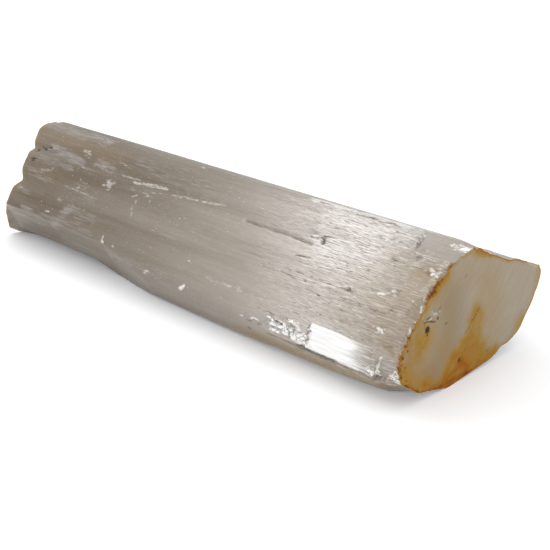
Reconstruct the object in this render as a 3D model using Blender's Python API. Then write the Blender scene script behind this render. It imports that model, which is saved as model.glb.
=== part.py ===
"""Selenite column: a log of fibrous crystal that lies on its flat underside, one end sawn square.

Metres, +Z up. X runs along the fibres towards the sawn end, the broad silky face looks to -Y and up,
and the log rests on z = 0 with the origin under the middle of its box.
Places on the surface are given as (x, girth): girth is the distance around the log in millimetres,
from the crest down over the broad face, under the log and up its back.
"""
import math

import bmesh
import bpy
from mathutils import Matrix, Vector

NAME = "selenite_column"
MM = 0.001

# Overall sizes, in millimetres.
LENGTH = 325.0
NEAR_X = LENGTH / 2
CORE = (-4.0, 31.0)

# Guide points (y, z) of the section; the outline runs smoothly through the middles of its sides.
CREST = [(0.5, 66.0), (-12.0, 66.5)]
BROAD_FACE = [(-30.0, 57.0), (-43.0, 46.5), (-53.0, 33.0)]
LOWER_EDGE = [(-57.5, 22.0), (-54.5, 14.5)]
FOOT = [(-51.0, 5.5), (-48.3, 1.0)]
UNDERSIDE = [(-42.5, 0.0), (-36.0, 0.0), (10.0, 0.0), (15.0, 0.0)]
BACK_BULGE = [(30.0, 5.5), (41.0, 11.0), (50.5, 19.0), (55.0, 27.0), (57.1, 36.0)]
BACK_FACE = [(54.5, 41.0), (27.0, 51.6)]
GUIDE_STEPS = 12

# The mesh: sides around the log, rings along it, closer together near both ends.
SIDES_AROUND = 100
RINGS = 35
END_CROWDING = 0.86
CAP_RING_GAPS = (0.07, 0.2, 0.3)
FINE_GIRTH = (56.0, 100.0)
FINE_SHARE = 0.24

# The far end broke off ragged: its rim along the girth, its rounding, and its weathered valleys, as
# centre, half width and depth; the last is a low ridge instead.
FAR_RIM = [(0.0, -162.5), (12.0, -162.4), (15.0, -161.0), (18.0, -159.0), (21.0, -156.9), (24.0, -154.4),
           (26.0, -152.2), (30.0, -152.2), (34.0, -150.6), (38.0, -149.1), (42.0, -147.4), (46.0, -145.2),
           (48.0, -143.6), (49.5, -143.1), (52.0, -144.8), (55.0, -146.6), (58.0, -147.0), (64.0, -147.3),
           (67.0, -148.3), (70.0, -151.0), (74.0, -154.0), (78.0, -156.8), (82.0, -158.5), (87.0, -160.5),
           (92.0, -162.2), (100.0, -160.0), (130.0, -156.0), (172.0, -158.0), (215.0, -154.0),
           (250.0, -160.0)]
FAR_ROUND = 1.4
FAR_FACE_X = -157.0
VALLEYS = [(26.0, 2.6, 1.4), (49.0, 3.4, 1.6), (186.0, 4.0, 2.0), (246.0, 4.5, 2.2), (9.0, 4.0, -1.0)]
VALLEY_REACH = 34.0

# Planes that trim the section, each as a normal (y, z) and how far out it lies along the log: the foot
# under the broad face, the steep facet where a splinter came off the far third, the heel, which leaves
# the ground towards the sawn end, and the toe, chipped off the foot's corner at the cut.
FOOT_NORMAL = (-0.565, -0.825)
FOOT_OUT = [(-162.5, 23.6), (-156.0, 22.0), (-146.0, 20.2), (-125.0, 19.7), (-71.0, 20.0), (-62.0, 21.7),
            (-54.0, 23.1), (-41.0, 24.7), (-27.0, 25.3), (-5.0, 26.0), (47.0, 25.8), (61.0, 25.4),
            (72.0, 25.3), (76.0, 24.7), (108.0, 24.5), (118.0, 24.2), (132.0, 23.6), (146.0, 22.5),
            (150.0, 20.4), (156.0, 18.6), (162.5, 18.0)]
SPLINTER_NORMAL = (-0.879, -0.476)
SPLINTER_OUT = [(-162.5, 40.0), (-157.0, 38.0), (-150.0, 36.7), (-50.0, 36.7), (-12.0, 41.8),
                (162.5, 44.0)]
HEEL_NORMAL = (0.078, -0.997)
HEEL_OUT = [(-162.5, 2.0), (148.0, 1.6), (156.0, 0.2), (162.5, -1.3)]
TOE_NORMAL = (-0.256, -0.967)
TOE_OUT = [(-162.5, 14.0), (146.0, 14.0), (150.0, 9.0), (156.0, 6.6), (162.5, 4.6)]

# The sawn edge, bitten by the saw: how far it lies out from the smooth skin along the girth, and how far
# back along the log that carries.
SAWN_EDGE = [(0.0, -0.4), (6.0, -0.3), (10.0, 0.1), (14.5, 0.5), (18.3, 0.6), (21.0, 0.2), (24.5, 0.2),
             (28.6, 0.4), (32.6, 0.5), (36.0, 0.2), (38.8, -0.9), (41.3, -2.0), (44.6, -1.5), (48.0, -0.5),
             (51.4, 0.1), (57.5, 0.4), (63.0, 0.5), (70.0, 0.5), (75.0, 0.2), (80.0, 0.0), (121.0, 0.0),
             (141.0, -0.2), (149.0, -0.7), (156.0, -1.6), (160.0, -1.8), (163.3, -1.6), (167.0, -2.7),
             (169.0, -2.1), (172.6, -0.5), (180.0, 0.2), (183.0, 0.6), (187.0, -0.6), (189.6, -1.4),
             (193.0, -2.0), (202.0, -2.3), (205.0, -2.1), (212.0, -1.3), (218.0, -0.7), (221.0, 0.3),
             (225.0, 0.0), (241.0, 0.0), (246.0, -0.4), (251.0, -1.6), (262.0, -1.7), (270.0, -2.3),
             (276.0, -1.5), (282.0, -0.6)]
EDGE_REACH = [(0.0, 5.0), (38.0, 5.0), (46.0, 7.0), (60.0, 4.0), (120.0, 8.0), (158.0, 6.0), (165.0, 3.5),
              (172.0, 4.0), (190.0, 9.0), (210.0, 9.0), (222.0, 5.0), (240.0, 12.0), (250.0, 20.0),
              (262.0, 26.0), (275.0, 12.0)]

# Bundles of fibres, as pitch, height and drift: slow ridges, faint on the broad face, bolder elsewhere,
# dying out at the sawn end. The flat strip of the underside that the log rests on has none.
BUNDLES = [(19.0, 0.36, 83.0), (11.5, 0.26, 59.0)]
BROAD_FACE_END = 80.0
BROAD_FACE_START = 268.0
CALM_EDGE = 12.0
BROAD_FACE_CALM = 0.14
SAWN_CALM = 14.0
REST_PAD_FROM = -60.0
REST_PAD_GIRTH = (112.0, 146.0)

# Ledges split off along the cleavage: x from, x to, girth from, girth to, depth, lean across, lean along,
# and how far their broken ends slant along the log for each millimetre of girth.
LEDGES = [
    ("mirror_cleavage", 109.4, 146.0, 64.3, 79.6, 0.5, 0.0, 0.35, -0.2),
    ("upper_step", 98.0, 109.5, 65.6, 69.5, 0.35, 6.0, 0.8, 0.0),
    ("steps_by_mirror", 95.0, 110.3, 69.0, 79.0, 0.7, 5.0, 2.0, -0.5),
    ("steps_beyond", 82.0, 96.0, 69.5, 78.5, 0.8, -5.0, 2.5, 0.7),
    ("last_step", 66.0, 79.0, 71.5, 77.5, 0.5, -4.0, 3.0, -0.9),
    ("corner_flake", 148.0, 168.0, 66.0, 81.0, 0.6, 5.0, -1.5, -0.35),
    ("crest_patch", 137.0, 168.0, 0.5, 14.5, 0.55, 1.2, 0.0, 0.35),
    ("crest_flake", 118.0, 136.0, -5.0, 4.0, 0.5, -2.0, 0.8, 0.6),
    ("long_crack", 44.0, 88.6, 26.2, 27.9, 0.45, 18.0, 0.0, 2.0),
    ("crack_tongue", 84.0, 90.6, 23.2, 25.2, 0.4, 12.0, -1.5, -1.5),
    ("crack_hook", 91.2, 94.6, 21.2, 25.2, 0.45, -6.0, 1.5, 0.9),
    ("under_mirror", 97.0, 147.0, 80.2, 82.2, 0.6, 8.0, 0.0, 1.5),
    ("back_step_a", -95.0, 70.0, 246.0, 262.0, 1.0, 3.0, 0.7, 1.6),
    ("back_step_b", 20.0, 180.0, 222.0, 233.0, 1.2, -4.0, 0.8, 2.0),
    ("back_step_c", -190.0, -30.0, 205.0, 222.0, 1.2, 4.0, -0.8, -1.4),
    ("belly_step", -120.0, 40.0, 160.0, 176.0, 0.9, 3.5, 0.6, 1.2),
]
LEDGE_HEIGHT = 9.0

# Splinter troughs in the worn third, steep on one side: x from, x to, girth, width, depth, lean.
SPLINTERS = [(104.0, 136.0, 9.4, 2.2, 0.40, 14.0), (62.0, 104.0, 13.8, 1.8, 0.35, -14.0),
             (112.0, 150.0, 18.2, 1.8, 0.35, 14.0), (96.0, 128.0, 30.6, 2.0, 0.35, -12.0),
             (54.0, 92.0, 34.2, 1.6, 0.30, 12.0), (118.0, 142.0, 35.4, 1.8, 0.35, 14.0),
             (88.0, 116.0, 41.0, 1.8, 0.30, -14.0), (100.0, 134.0, 49.6, 2.0, 0.35, 12.0),
             (60.0, 88.0, 53.4, 1.6, 0.30, -12.0), (116.0, 152.0, 58.6, 2.0, 0.35, 14.0)]

# Small conchoidal pits: x, girth, radius, depth; and those in the sawn face: y, z, radius, depth.
PITS = [(-138.0, 22.6, 1.7, 0.9), (-142.6, 33.6, 1.8, 0.9), (-146.0, 27.6, 1.5, 0.8), (122.0, 43.8, 1.4, 0.8),
        (146.0, 38.2, 2.5, 0.7), (147.0, 54.6, 1.9, 0.7), (145.4, 17.2, 1.7, 0.5), (157.5, 22.6, 2.1, 0.8),
        (62.0, 82.2, 1.3, 0.5), (60.0, 255.0, 4.0, 1.5), (-60.0, 236.0, 3.5, 1.3)]
SAW_PITS = [(-36.2, 35.2, 2.1, 1.4), (-32.6, 42.8, 1.8, 0.8), (-10.6, 11.4, 1.0, 0.8),
            (-54.0, 21.0, 2.2, 0.8)]

COLOUR = (0.42, 0.38, 0.33, 1.0)
ROUGHNESS = 0.38


def clear_scene():
    for item in list(bpy.data.objects):
        bpy.data.objects.remove(item, do_unlink=True)


def new_collection(name):
    group = bpy.data.collections.new(name)
    bpy.context.scene.collection.children.link(group)
    return group


def between(stops, at):
    """Value at a place, read along straight runs between the (place, value) stops."""
    for (a, va), (b, vb) in zip(stops, stops[1:]):
        if at <= b:
            return va + (vb - va) * max(0.0, (at - a) / (b - a))
    return stops[-1][1]


def bell(distance, half_width):
    """1 at the middle, falling smoothly to 0 at the half width."""
    share = min(1.0, abs(distance) / half_width)
    return (1.0 - share * share) ** 2


def around(girth, centre, whole):
    """Signed distance along the girth, the short way round."""
    return (girth - centre + whole / 2) % whole - whole / 2


def section_outline():
    """The outline as points (y, z), from the crest down the broad face and round to the crest again."""
    guide = [Vector(p) for p in CREST + BROAD_FACE + LOWER_EDGE + FOOT + UNDERSIDE + BACK_BULGE + BACK_FACE]
    points = []
    for before, here, after in zip(guide[-1:] + guide[:-1], guide, guide[1:] + guide[:1]):
        start, end = (before + here) / 2, (here + after) / 2
        for step in range(GUIDE_STEPS):
            t = step / GUIDE_STEPS
            points.append(start * (1 - t) ** 2 + here * 2 * t * (1 - t) + end * t * t)
    top = max(range(len(points)), key=lambda i: points[i].y)
    return points[top:] + points[:top]


class Section:
    """The log's section, read by girth."""

    def __init__(self):
        self.points = section_outline()
        self.points.append(self.points[0].copy())
        self.marks = [0.0]
        for a, b in zip(self.points, self.points[1:]):
            self.marks.append(self.marks[-1] + (b - a).length)
        self.girth = self.marks[-1]

    def point(self, girth):
        girth %= self.girth
        index = next(i for i, mark in enumerate(self.marks[1:]) if girth <= mark)
        run = self.marks[index + 1] - self.marks[index]
        return self.points[index].lerp(self.points[index + 1], (girth - self.marks[index]) / run)

    def outward(self, girth):
        along = self.point(girth + 1.0) - self.point(girth - 1.0)
        normal = Vector((-along.y, along.x)).normalized()
        return normal if normal.dot(self.point(girth) - Vector(CORE)) > 0 else -normal

    def girth_at(self, share):
        """Girth for a share of the way round, with more sides spent on the lower edge and foot."""
        low, high = FINE_GIRTH
        plain = self.girth - (high - low)
        start = low / plain * (1 - FINE_SHARE)
        if share < start:
            return share / start * low
        if share < start + FINE_SHARE:
            return low + (share - start) / FINE_SHARE * (high - low)
        return high + (share - start - FINE_SHARE) / (1 - start - FINE_SHARE) * (self.girth - high)


def plane_limit(point, normal, out):
    """Pull a section point towards the core until it lies inside a plane."""
    core = Vector(CORE)
    ray = point - core
    reach = ray.dot(Vector(normal))
    room = out - core.dot(Vector(normal))
    return core + ray * (room / reach) if reach > room else point


def bundle_relief(x, girth):
    """Height of the fibre bundles' ridges, held down on the broad face."""
    off_face = min(max(0.0, girth - BROAD_FACE_END), max(0.0, BROAD_FACE_START + CALM_EDGE - girth))
    calm = BROAD_FACE_CALM + (1.0 - BROAD_FACE_CALM) * min(1.0, off_face / CALM_EDGE)
    calm *= min(1.0, (NEAR_X - x) / SAWN_CALM)
    return calm * sum(height * (math.sin(math.tau * girth / pitch + math.sin(x / drift) * 1.4) - 0.5)
                      for pitch, height, drift in BUNDLES)


def valley_relief(x, girth, rim_x, whole):
    fade = max(0.0, 1.0 - (x - rim_x) / VALLEY_REACH) ** 1.5
    return -fade * sum(depth * bell(around(girth, centre, whole), 2.0 * half)
                       for centre, half, depth in VALLEYS)


def edge_relief(x, girth, whole):
    edge = between(SAWN_EDGE + [(whole, SAWN_EDGE[0][1])], girth)
    reach = between(EDGE_REACH + [(whole, EDGE_REACH[0][1])], girth)
    return edge * bell(NEAR_X - x, reach)


def surface_point(section, x, girth, rim_x):
    """A point (y, z) of the log's skin at a place x along it."""
    point = section.point(girth)
    on_pad = x > REST_PAD_FROM and REST_PAD_GIRTH[0] < girth < REST_PAD_GIRTH[1]
    if not on_pad:
        relief = bundle_relief(x, girth) + valley_relief(x, girth, rim_x, section.girth)
        relief += edge_relief(x, girth, section.girth)
        point = point + section.outward(girth) * relief
    point = plane_limit(point, FOOT_NORMAL, between(FOOT_OUT, x))
    point = plane_limit(point, SPLINTER_NORMAL, between(SPLINTER_OUT, x))
    point = plane_limit(point, HEEL_NORMAL, between(HEEL_OUT, x))
    point = plane_limit(point, TOE_NORMAL, between(TOE_OUT, x))
    step_in = min(FAR_ROUND, max(0.0, FAR_ROUND - (x - rim_x)))
    inset = FAR_ROUND - math.sqrt(FAR_ROUND ** 2 - step_in ** 2)
    to_core = Vector(CORE) - point
    point = point + to_core * (inset / to_core.length)
    return Vector((point.x, max(0.0, point.y)))


def blank_log(bm):
    """A cylinder of unit size along X, with rings along it and rings on both ends."""
    lay_down = Matrix.Rotation(math.radians(90), 4, 'Y')
    bmesh.ops.create_cone(bm, cap_ends=True, cap_tris=False, segments=SIDES_AROUND,
                          radius1=1.0, radius2=1.0, depth=1.0, matrix=lay_down)
    long_edges = [e for e in bm.edges if abs(e.verts[0].co.x - e.verts[1].co.x) > 0.5]
    bmesh.ops.subdivide_edges(bm, edges=long_edges, cuts=RINGS - 1)
    for side in (-1, 1):
        cap = next(f for f in bm.faces if len(f.verts) == SIDES_AROUND and f.normal.x * side > 0.5)
        for gap in CAP_RING_GAPS if side < 0 else CAP_RING_GAPS[:1]:
            bmesh.ops.inset_region(bm, faces=[cap], thickness=gap, use_even_offset=True)
        bmesh.ops.poke(bm, faces=[cap])


def shape_log(bm, section):
    """Move the blank's points onto the log."""
    rim_stops = FAR_RIM + [(section.girth, FAR_RIM[0][1])]
    core = Vector(CORE)
    for vert in bm.verts:
        blank = vert.co.copy()
        radius = math.hypot(blank.y, blank.z)
        share = (math.atan2(-blank.y, blank.z) / math.tau) % 1.0
        girth = section.girth_at(share)
        rim_x = between(rim_stops, girth)
        t = blank.x + 0.5
        along = t - END_CROWDING * math.sin(math.tau * t) / math.tau
        x = rim_x + (NEAR_X - rim_x) * along
        skin = surface_point(section, x, girth, rim_x)
        at = core.lerp(skin, min(1.0, radius))
        if blank.x < -0.499 and radius < 0.999:
            x = FAR_FACE_X + (rim_x - FAR_FACE_X) * radius ** 2
        vert.co = Vector((x, at.x, at.y)) * MM


def log_object(section, material, group):
    mesh = bpy.data.meshes.new(NAME)
    bm = bmesh.new()
    blank_log(bm)
    shape_log(bm, section)
    bmesh.ops.recalc_face_normals(bm, faces=bm.faces)
    bmesh.ops.triangulate(bm, faces=bm.faces)
    bm.to_mesh(mesh)
    bm.free()
    mesh.materials.append(material)
    body = bpy.data.objects.new(NAME, mesh)
    group.objects.link(body)
    return body


def place_matrix(section, x, girth):
    """Local frame on the skin: X along the log, Y against the girth, Z outwards."""
    at = section.point(girth)
    out = section.outward(girth)
    outward = Vector((0.0, out.x, out.y))
    along = Vector((1.0, 0.0, 0.0))
    frame = Matrix((along, outward.cross(along), outward)).transposed().to_4x4()
    frame.translation = Vector((x, at.x, at.y))
    return frame


def add_cutter(name, bm, frame, group):
    bmesh.ops.transform(bm, matrix=Matrix.Scale(MM, 4) @ frame, verts=bm.verts)
    bmesh.ops.recalc_face_normals(bm, faces=bm.faces)
    mesh = bpy.data.meshes.new(name)
    bm.to_mesh(mesh)
    bm.free()
    cutter = bpy.data.objects.new(name, mesh)
    cutter.hide_render = True
    cutter.display_type = 'WIRE'
    group.objects.link(cutter)
    return cutter


def ledge_cutter(section, ledge, group):
    """A slab whose floor lies under the skin, leaning so that one side fades out."""
    name, x_from, x_to, girth_from, girth_to, depth, lean_across, lean_along, slant = ledge
    low, high = section.point(girth_from), section.point(girth_to)
    width = (high - low).length
    middle = (girth_from + girth_to) / 2
    sag = (section.point(middle) - (low + high) / 2).length
    bm = bmesh.new()
    bmesh.ops.create_cube(bm, size=1.0)
    bmesh.ops.scale(bm, vec=Vector((x_to - x_from, width, LEDGE_HEIGHT)), verts=bm.verts)
    floor = max(depth, sag + 0.3 * depth)
    bmesh.ops.translate(bm, vec=Vector((0.0, 0.0, LEDGE_HEIGHT / 2 - floor)), verts=bm.verts)
    slanted = Matrix.Identity(4)
    slanted[0][1] = -slant
    roll = Matrix.Rotation(math.radians(lean_across), 4, 'X')
    pitch = Matrix.Rotation(math.radians(lean_along), 4, 'Y')
    frame = place_matrix(section, (x_from + x_to) / 2, middle) @ roll @ pitch @ slanted
    return add_cutter(name, bm, frame, group)


def splinter_cutter(section, index, splinter, group):
    """A spindle that lies just in the skin, flattened, and rolled to make one side steep."""
    x_from, x_to, girth, width, depth, lean = splinter
    length = x_to - x_from
    bm = bmesh.new()
    bmesh.ops.create_cone(bm, cap_ends=False, segments=6, radius1=width / 2, radius2=width / 2, depth=length,
                          matrix=Matrix.Rotation(math.radians(90), 4, 'Y'))
    middle_edges = [e for e in bm.edges if abs(e.verts[0].co.x - e.verts[1].co.x) > length / 2]
    bmesh.ops.subdivide_edges(bm, edges=middle_edges, cuts=1)
    for side in (-1, 1):
        end = [v for v in bm.verts if v.co.x * side > length / 4]
        bmesh.ops.pointmerge(bm, verts=end, merge_co=Vector((side * length / 2, 0.0, width / 2)))
    roll = Matrix.Rotation(math.radians(lean), 4, 'X')
    flatten = Matrix.Scale(2 * depth / width, 4, (0.0, 0.0, 1.0))
    frame = place_matrix(section, (x_from + x_to) / 2, girth) @ roll @ flatten
    return add_cutter(f"splinter_{index}", bm, frame, group)


def pit_cutter(name, pit, frame, group):
    """A ball that leaves a shallow shell-shaped hollow in the face at its frame."""
    radius, depth = pit
    ball = (radius ** 2 + depth ** 2) / (2 * depth)
    bm = bmesh.new()
    bmesh.ops.create_icosphere(bm, subdivisions=2, radius=ball)
    bmesh.ops.translate(bm, vec=Vector((0.0, 0.0, ball - depth)), verts=bm.verts)
    return add_cutter(name, bm, frame, group)


def pit_cutters(section, group):
    cutters = [pit_cutter(f"pit_{index}", pit[2:], place_matrix(section, *pit[:2]), group)
               for index, pit in enumerate(PITS, start=1)]
    for index, (y, z, *pit) in enumerate(SAW_PITS, start=1):
        frame = Matrix.Translation((NEAR_X, y, z)) @ Matrix.Rotation(math.radians(90), 4, 'Y')
        cutters.append(pit_cutter(f"saw_pit_{index}", pit, frame, group))
    return cutters


def cut(body, cutters):
    for cutter in cutters:
        boolean = body.modifiers.new(cutter.name, 'BOOLEAN')
        boolean.operation = 'DIFFERENCE'
        boolean.solver = 'EXACT'
        boolean.object = cutter


def selenite_material():
    material = bpy.data.materials.new("selenite")
    material.use_nodes = True
    shader = material.node_tree.nodes["Principled BSDF"]
    shader.inputs["Base Color"].default_value = COLOUR
    shader.inputs["Roughness"].default_value = ROUGHNESS
    shader.inputs["Metallic"].default_value = 0.0
    return material


clear_scene()
parts = new_collection("Selenite column")
cutting = new_collection("Cutters")
outline = Section()
log = log_object(outline, selenite_material(), parts)
ledges = [ledge_cutter(outline, ledge, cutting) for ledge in LEDGES]
splinters = [splinter_cutter(outline, number, splinter, cutting)
             for number, splinter in enumerate(SPLINTERS, start=1)]
cut(log, ledges + splinters + pit_cutters(outline, cutting))
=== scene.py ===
import math

import bmesh
import bpy
import numpy as np
from mathutils import Euler, Matrix, Vector


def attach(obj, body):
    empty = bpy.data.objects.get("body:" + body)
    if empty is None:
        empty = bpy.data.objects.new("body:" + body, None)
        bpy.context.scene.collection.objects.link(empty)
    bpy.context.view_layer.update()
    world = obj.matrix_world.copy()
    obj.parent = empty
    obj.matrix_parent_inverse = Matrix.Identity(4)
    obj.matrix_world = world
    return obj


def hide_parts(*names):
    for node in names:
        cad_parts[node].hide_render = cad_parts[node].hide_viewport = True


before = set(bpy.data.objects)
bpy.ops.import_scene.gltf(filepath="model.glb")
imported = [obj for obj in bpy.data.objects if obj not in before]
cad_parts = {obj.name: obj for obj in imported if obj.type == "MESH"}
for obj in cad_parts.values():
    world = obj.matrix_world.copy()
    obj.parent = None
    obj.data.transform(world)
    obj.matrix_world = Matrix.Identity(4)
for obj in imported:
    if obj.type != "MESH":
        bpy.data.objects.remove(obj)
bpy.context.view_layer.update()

# The log itself: one crystal of satin spar that grew as a bundle of parallel fibres along X. It lies
# on its flat underside, with the broad silky face to -Y and up, and one end is sawn square.
# Places on its skin are (run, girth) in millimetres: along X, and round from the crest over the face.
MM = 0.001
LENGTH = 325.0
NEAR_X = LENGTH / 2
FAR_X = -LENGTH / 2
CORE = np.array([-4.0, 31.0])
CREST = [(0.5, 66), (-12, 66.5)]
BROAD_FACE = [(-30, 57), (-43, 46.5), (-53, 33)]
LOWER_EDGE = [(-57.5, 22), (-54.5, 14.5)]
FOOT = [(-51, 5.5), (-48.3, 1)]
UNDERSIDE = [(-42.5, 0), (-36, 0), (10, 0), (15, 0)]
BACK_BULGE = [(30, 5.5), (41, 11), (50.5, 19), (55, 27), (57.1, 36)]
BACK_FACE = [(54.5, 41), (27, 51.6)]
GUIDE_STEPS = 24
NORMAL_SPAN = 0.8
SIDES_AROUND = 290
RINGS = 280
NEAR_CAP_RINGS = 48
FAR_CAP_RINGS = 7
CAP_CROWDING = 1.3
CROWDING_GRID = 4001
INSIDE_RIM = 0.9995
AT_END = 0.4999


def section_outline(guide):
    """Points of the outline, smooth through the middles of the guide's sides, from the crest round."""
    guide = np.array(guide)
    t = np.linspace(0, 1, GUIDE_STEPS, endpoint=False)[None, :, None]
    start = ((np.roll(guide, 1, axis=0) + guide) / 2)[:, None]
    end = ((np.roll(guide, -1, axis=0) + guide) / 2)[:, None]
    curve = start * (1 - t) ** 2 + guide[:, None] * 2 * t * (1 - t) + end * t * t
    curve = curve.reshape(-1, 2)
    curve = np.roll(curve, -int(np.argmax(curve[:, 1])), axis=0)
    return np.vstack([curve, curve[:1]])


outline = section_outline(CREST + BROAD_FACE + LOWER_EDGE + FOOT + UNDERSIDE + BACK_BULGE + BACK_FACE)
marks = np.concatenate([[0.0], np.cumsum(np.linalg.norm(np.diff(outline, axis=0), axis=1))])
GIRTH = marks[-1]
GIRTH_CROWDS = [(44.0, 52.0, 3.0), (GIRTH, 10.0, 2.6)]
RUN_CROWDS = [(FAR_X, 14.0, 0.6), (118.0, 42.0, 1.2), (NEAR_X, 7.0, 2.4)]


def skin_at(girth):
    """Section points (y, z) at these girths."""
    girth = np.asarray(girth) % GIRTH
    return np.stack([np.interp(girth, marks, outline[:, axis]) for axis in (0, 1)], axis=-1)


def outward_at(girth):
    """Unit normals (y, z) of the smooth skin, pointing out."""
    along = skin_at(girth + NORMAL_SPAN) - skin_at(girth - NORMAL_SPAN)
    normal = np.stack([-along[..., 1], along[..., 0]], axis=-1)
    normal = normal / np.linalg.norm(normal, axis=-1, keepdims=True)
    facing = np.sum(normal * (skin_at(girth) - CORE), axis=-1, keepdims=True)
    return np.where(facing > 0, normal, -normal)


def crowded(count, start, end, spots):
    """count + 1 places from start to end, closer together round each (place, reach, strength) spot."""
    grid = np.linspace(start, end, CROWDING_GRID)
    density = np.ones(CROWDING_GRID)
    for place, reach, strength in spots:
        density += strength * np.exp(-((grid - place) / reach) ** 2)
    total = np.concatenate([[0.0], np.cumsum((density[1:] + density[:-1]) / 2)])
    return np.interp(np.linspace(0, total[-1], count + 1), total, grid)


def blank_log():
    """A cylinder of unit size along X, with rings along it and on both ends, shaped later."""
    bm = bmesh.new()
    bmesh.ops.create_cone(bm, cap_ends=True, cap_tris=False, segments=SIDES_AROUND, radius1=1.0, radius2=1.0,
                          depth=1.0, matrix=Matrix.Rotation(math.radians(90), 4, 'Y'))
    long_edges = [e for e in bm.edges if abs(e.verts[0].co.x - e.verts[1].co.x) > 0.5]
    bmesh.ops.subdivide_edges(bm, edges=long_edges, cuts=RINGS - 1)
    for side, rings in ((1, NEAR_CAP_RINGS), (-1, FAR_CAP_RINGS)):
        cap = next(f for f in bm.faces if len(f.verts) == SIDES_AROUND and f.normal.x * side > 0.5)
        reaches = 1.0 - (np.arange(rings + 1) / (rings + 1)) ** CAP_CROWDING
        for outer, inner in zip(reaches, reaches[1:]):
            bmesh.ops.inset_region(bm, faces=[cap], thickness=float(outer - inner), use_even_offset=True)
        bmesh.ops.poke(bm, faces=[cap])
    bmesh.ops.recalc_face_normals(bm, faces=bm.faces)
    return bm


bm = blank_log()
log_mesh = bpy.data.meshes.new("selenite_log")
bm.to_mesh(log_mesh)
bm.free()
blank = np.empty(len(log_mesh.vertices) * 3, dtype=np.float32)
log_mesh.vertices.foreach_get("co", blank)
blank = blank.reshape(-1, 3).astype(float)
radius = np.minimum(1.0, np.hypot(blank[:, 1], blank[:, 2]))
share = (np.arctan2(-blank[:, 1], blank[:, 2]) / math.tau) % 1.0
side_index = np.rint(share * SIDES_AROUND).astype(int) % SIDES_AROUND
ring_index = np.rint((blank[:, 0] + 0.5) * RINGS).astype(int)
girth = crowded(SIDES_AROUND, 0.0, GIRTH, GIRTH_CROWDS)[side_index]
run_places = crowded(RINGS, FAR_X, NEAR_X, RUN_CROWDS)
inside_cap = radius < INSIDE_RIM
near_cap = (blank[:, 0] > AT_END) & inside_cap
far_cap = (blank[:, 0] < -AT_END) & inside_cap
sawn_rim = (blank[:, 0] > AT_END) & ~inside_cap
on_skin = ~near_cap & ~far_cap

# The far end was never sawn: it broke off ragged and weathered. Its rim wanders and has two notches,
# where valleys between the fibre bundles run in from it and fade out along the log; the last is a ridge.
FAR_RIM = [
    (0, -162.5), (12, -162.4), (15, -161), (18, -159), (21, -156.9), (24, -154.4), (26, -152.2),
    (30, -152.2), (34, -150.6), (38, -149.1), (42, -147.4), (46, -145.2), (48, -143.6), (49.5, -143.1),
    (52, -144.8), (55, -146.6), (58, -147), (64, -147.3), (67, -148.3), (70, -151), (74, -154),
    (78, -156.8), (82, -158.5), (87, -160.5), (92, -162.2), (100, -160), (130, -156), (172, -158),
    (215, -154), (250, -160), (GIRTH, -162.5),
]
FAR_ROUND = 1.4
FAR_FACE_X = -157.0
VALLEYS = [(26, 2.6, 1.4), (49, 3.4, 1.6), (186, 4, 2), (246, 4.5, 2.2), (9, 4, -1)]
VALLEY_REACH = 34.0
VALLEY_FADE = 1.5


def between(stops, at):
    """Values at these places, along straight runs between the (place, value) stops."""
    places, values = zip(*stops)
    return np.interp(at, places, values)


def bell(distance, half_width):
    """1 at the middle, falling smoothly to 0 at the half width."""
    return (1.0 - np.minimum(1.0, np.abs(distance) / half_width) ** 2) ** 2


def around(centre):
    """Signed girth distance of every point from a place, the short way round."""
    return (girth - centre + GIRTH / 2) % GIRTH - GIRTH / 2


rim_x = between(FAR_RIM, girth)
run = NEAR_X - (NEAR_X - run_places[ring_index]) * (NEAR_X - rim_x) / LENGTH
from_saw = NEAR_X - run
from_far = run - rim_x
relief = np.zeros(len(run))
valley_fade = np.clip(1.0 - from_far / VALLEY_REACH, 0, 1) ** VALLEY_FADE
for centre, half, depth in VALLEYS:
    relief -= depth * bell(around(centre), 2.0 * half) * valley_fade

# Fibres: bundles of them stand proud in slow ridges, faint on the broad face and bolder behind and
# below, and single strands ripple finer. They stay calm over the far half and wear open past the middle.
BUNDLES = [(19, 0.36, 83), (11.5, 0.26, 59)]
BUNDLE_SWAY = 1.4
BUNDLE_SINK = 0.5
CALM = [(80.0, 0.14), (92.0, 1.0)]
SAWN_CALM = 14.0
WORN_FROM = [(0, 25), (30, 45), (50, 55), (66, 62), (90, 70), (GIRTH, 25)]
WEAR_RAMP = 55.0


def grain(length, width, seed):
    """Smooth random ripple, -1 to 1, in streaks of this length and width that wrap round the log."""
    rng = np.random.default_rng(seed)
    rows = int(round(GIRTH / width))
    columns = int(LENGTH / length) + 4
    cells = rng.uniform(-1, 1, (rows, columns))
    shift = rng.uniform(0, 1, rows)
    across = girth / GIRTH * rows
    lower = np.floor(across).astype(int)
    blend = across - lower
    blend = blend * blend * (3 - 2 * blend)

    def streak(row):
        row = row % rows
        along = (run - FAR_X) / length + shift[row]
        cell = np.floor(along).astype(int)
        part = along - cell
        part = part * part * (3 - 2 * part)
        return cells[row, cell] * (1 - part) + cells[row, cell + 1] * part

    return streak(lower) * (1 - blend) + streak(lower + 1) * blend


def grains(*ripples):
    """Ripples added up, each with a length, a width, a seed and a height."""
    return sum(height * grain(length, width, seed) for length, width, seed, height in ripples)


worn = np.clip((run - between(WORN_FROM, girth)) / WEAR_RAMP, 0, 1)
bundles = sum(height * (np.sin(math.tau * girth / pitch + np.sin(run / drift) * BUNDLE_SWAY) - BUNDLE_SINK)
              for pitch, height, drift in BUNDLES)
relief += between(CALM, girth) * bundles * np.clip(from_saw / SAWN_CALM, 0, 1)
relief += grains((60.0, 3.4, 1, 0.025 + 0.020 * worn), (34.0, 1.7, 2, 0.012 + 0.025 * worn),
                 (16.0, 1.0, 3, 0.006 + 0.030 * worn))

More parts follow.
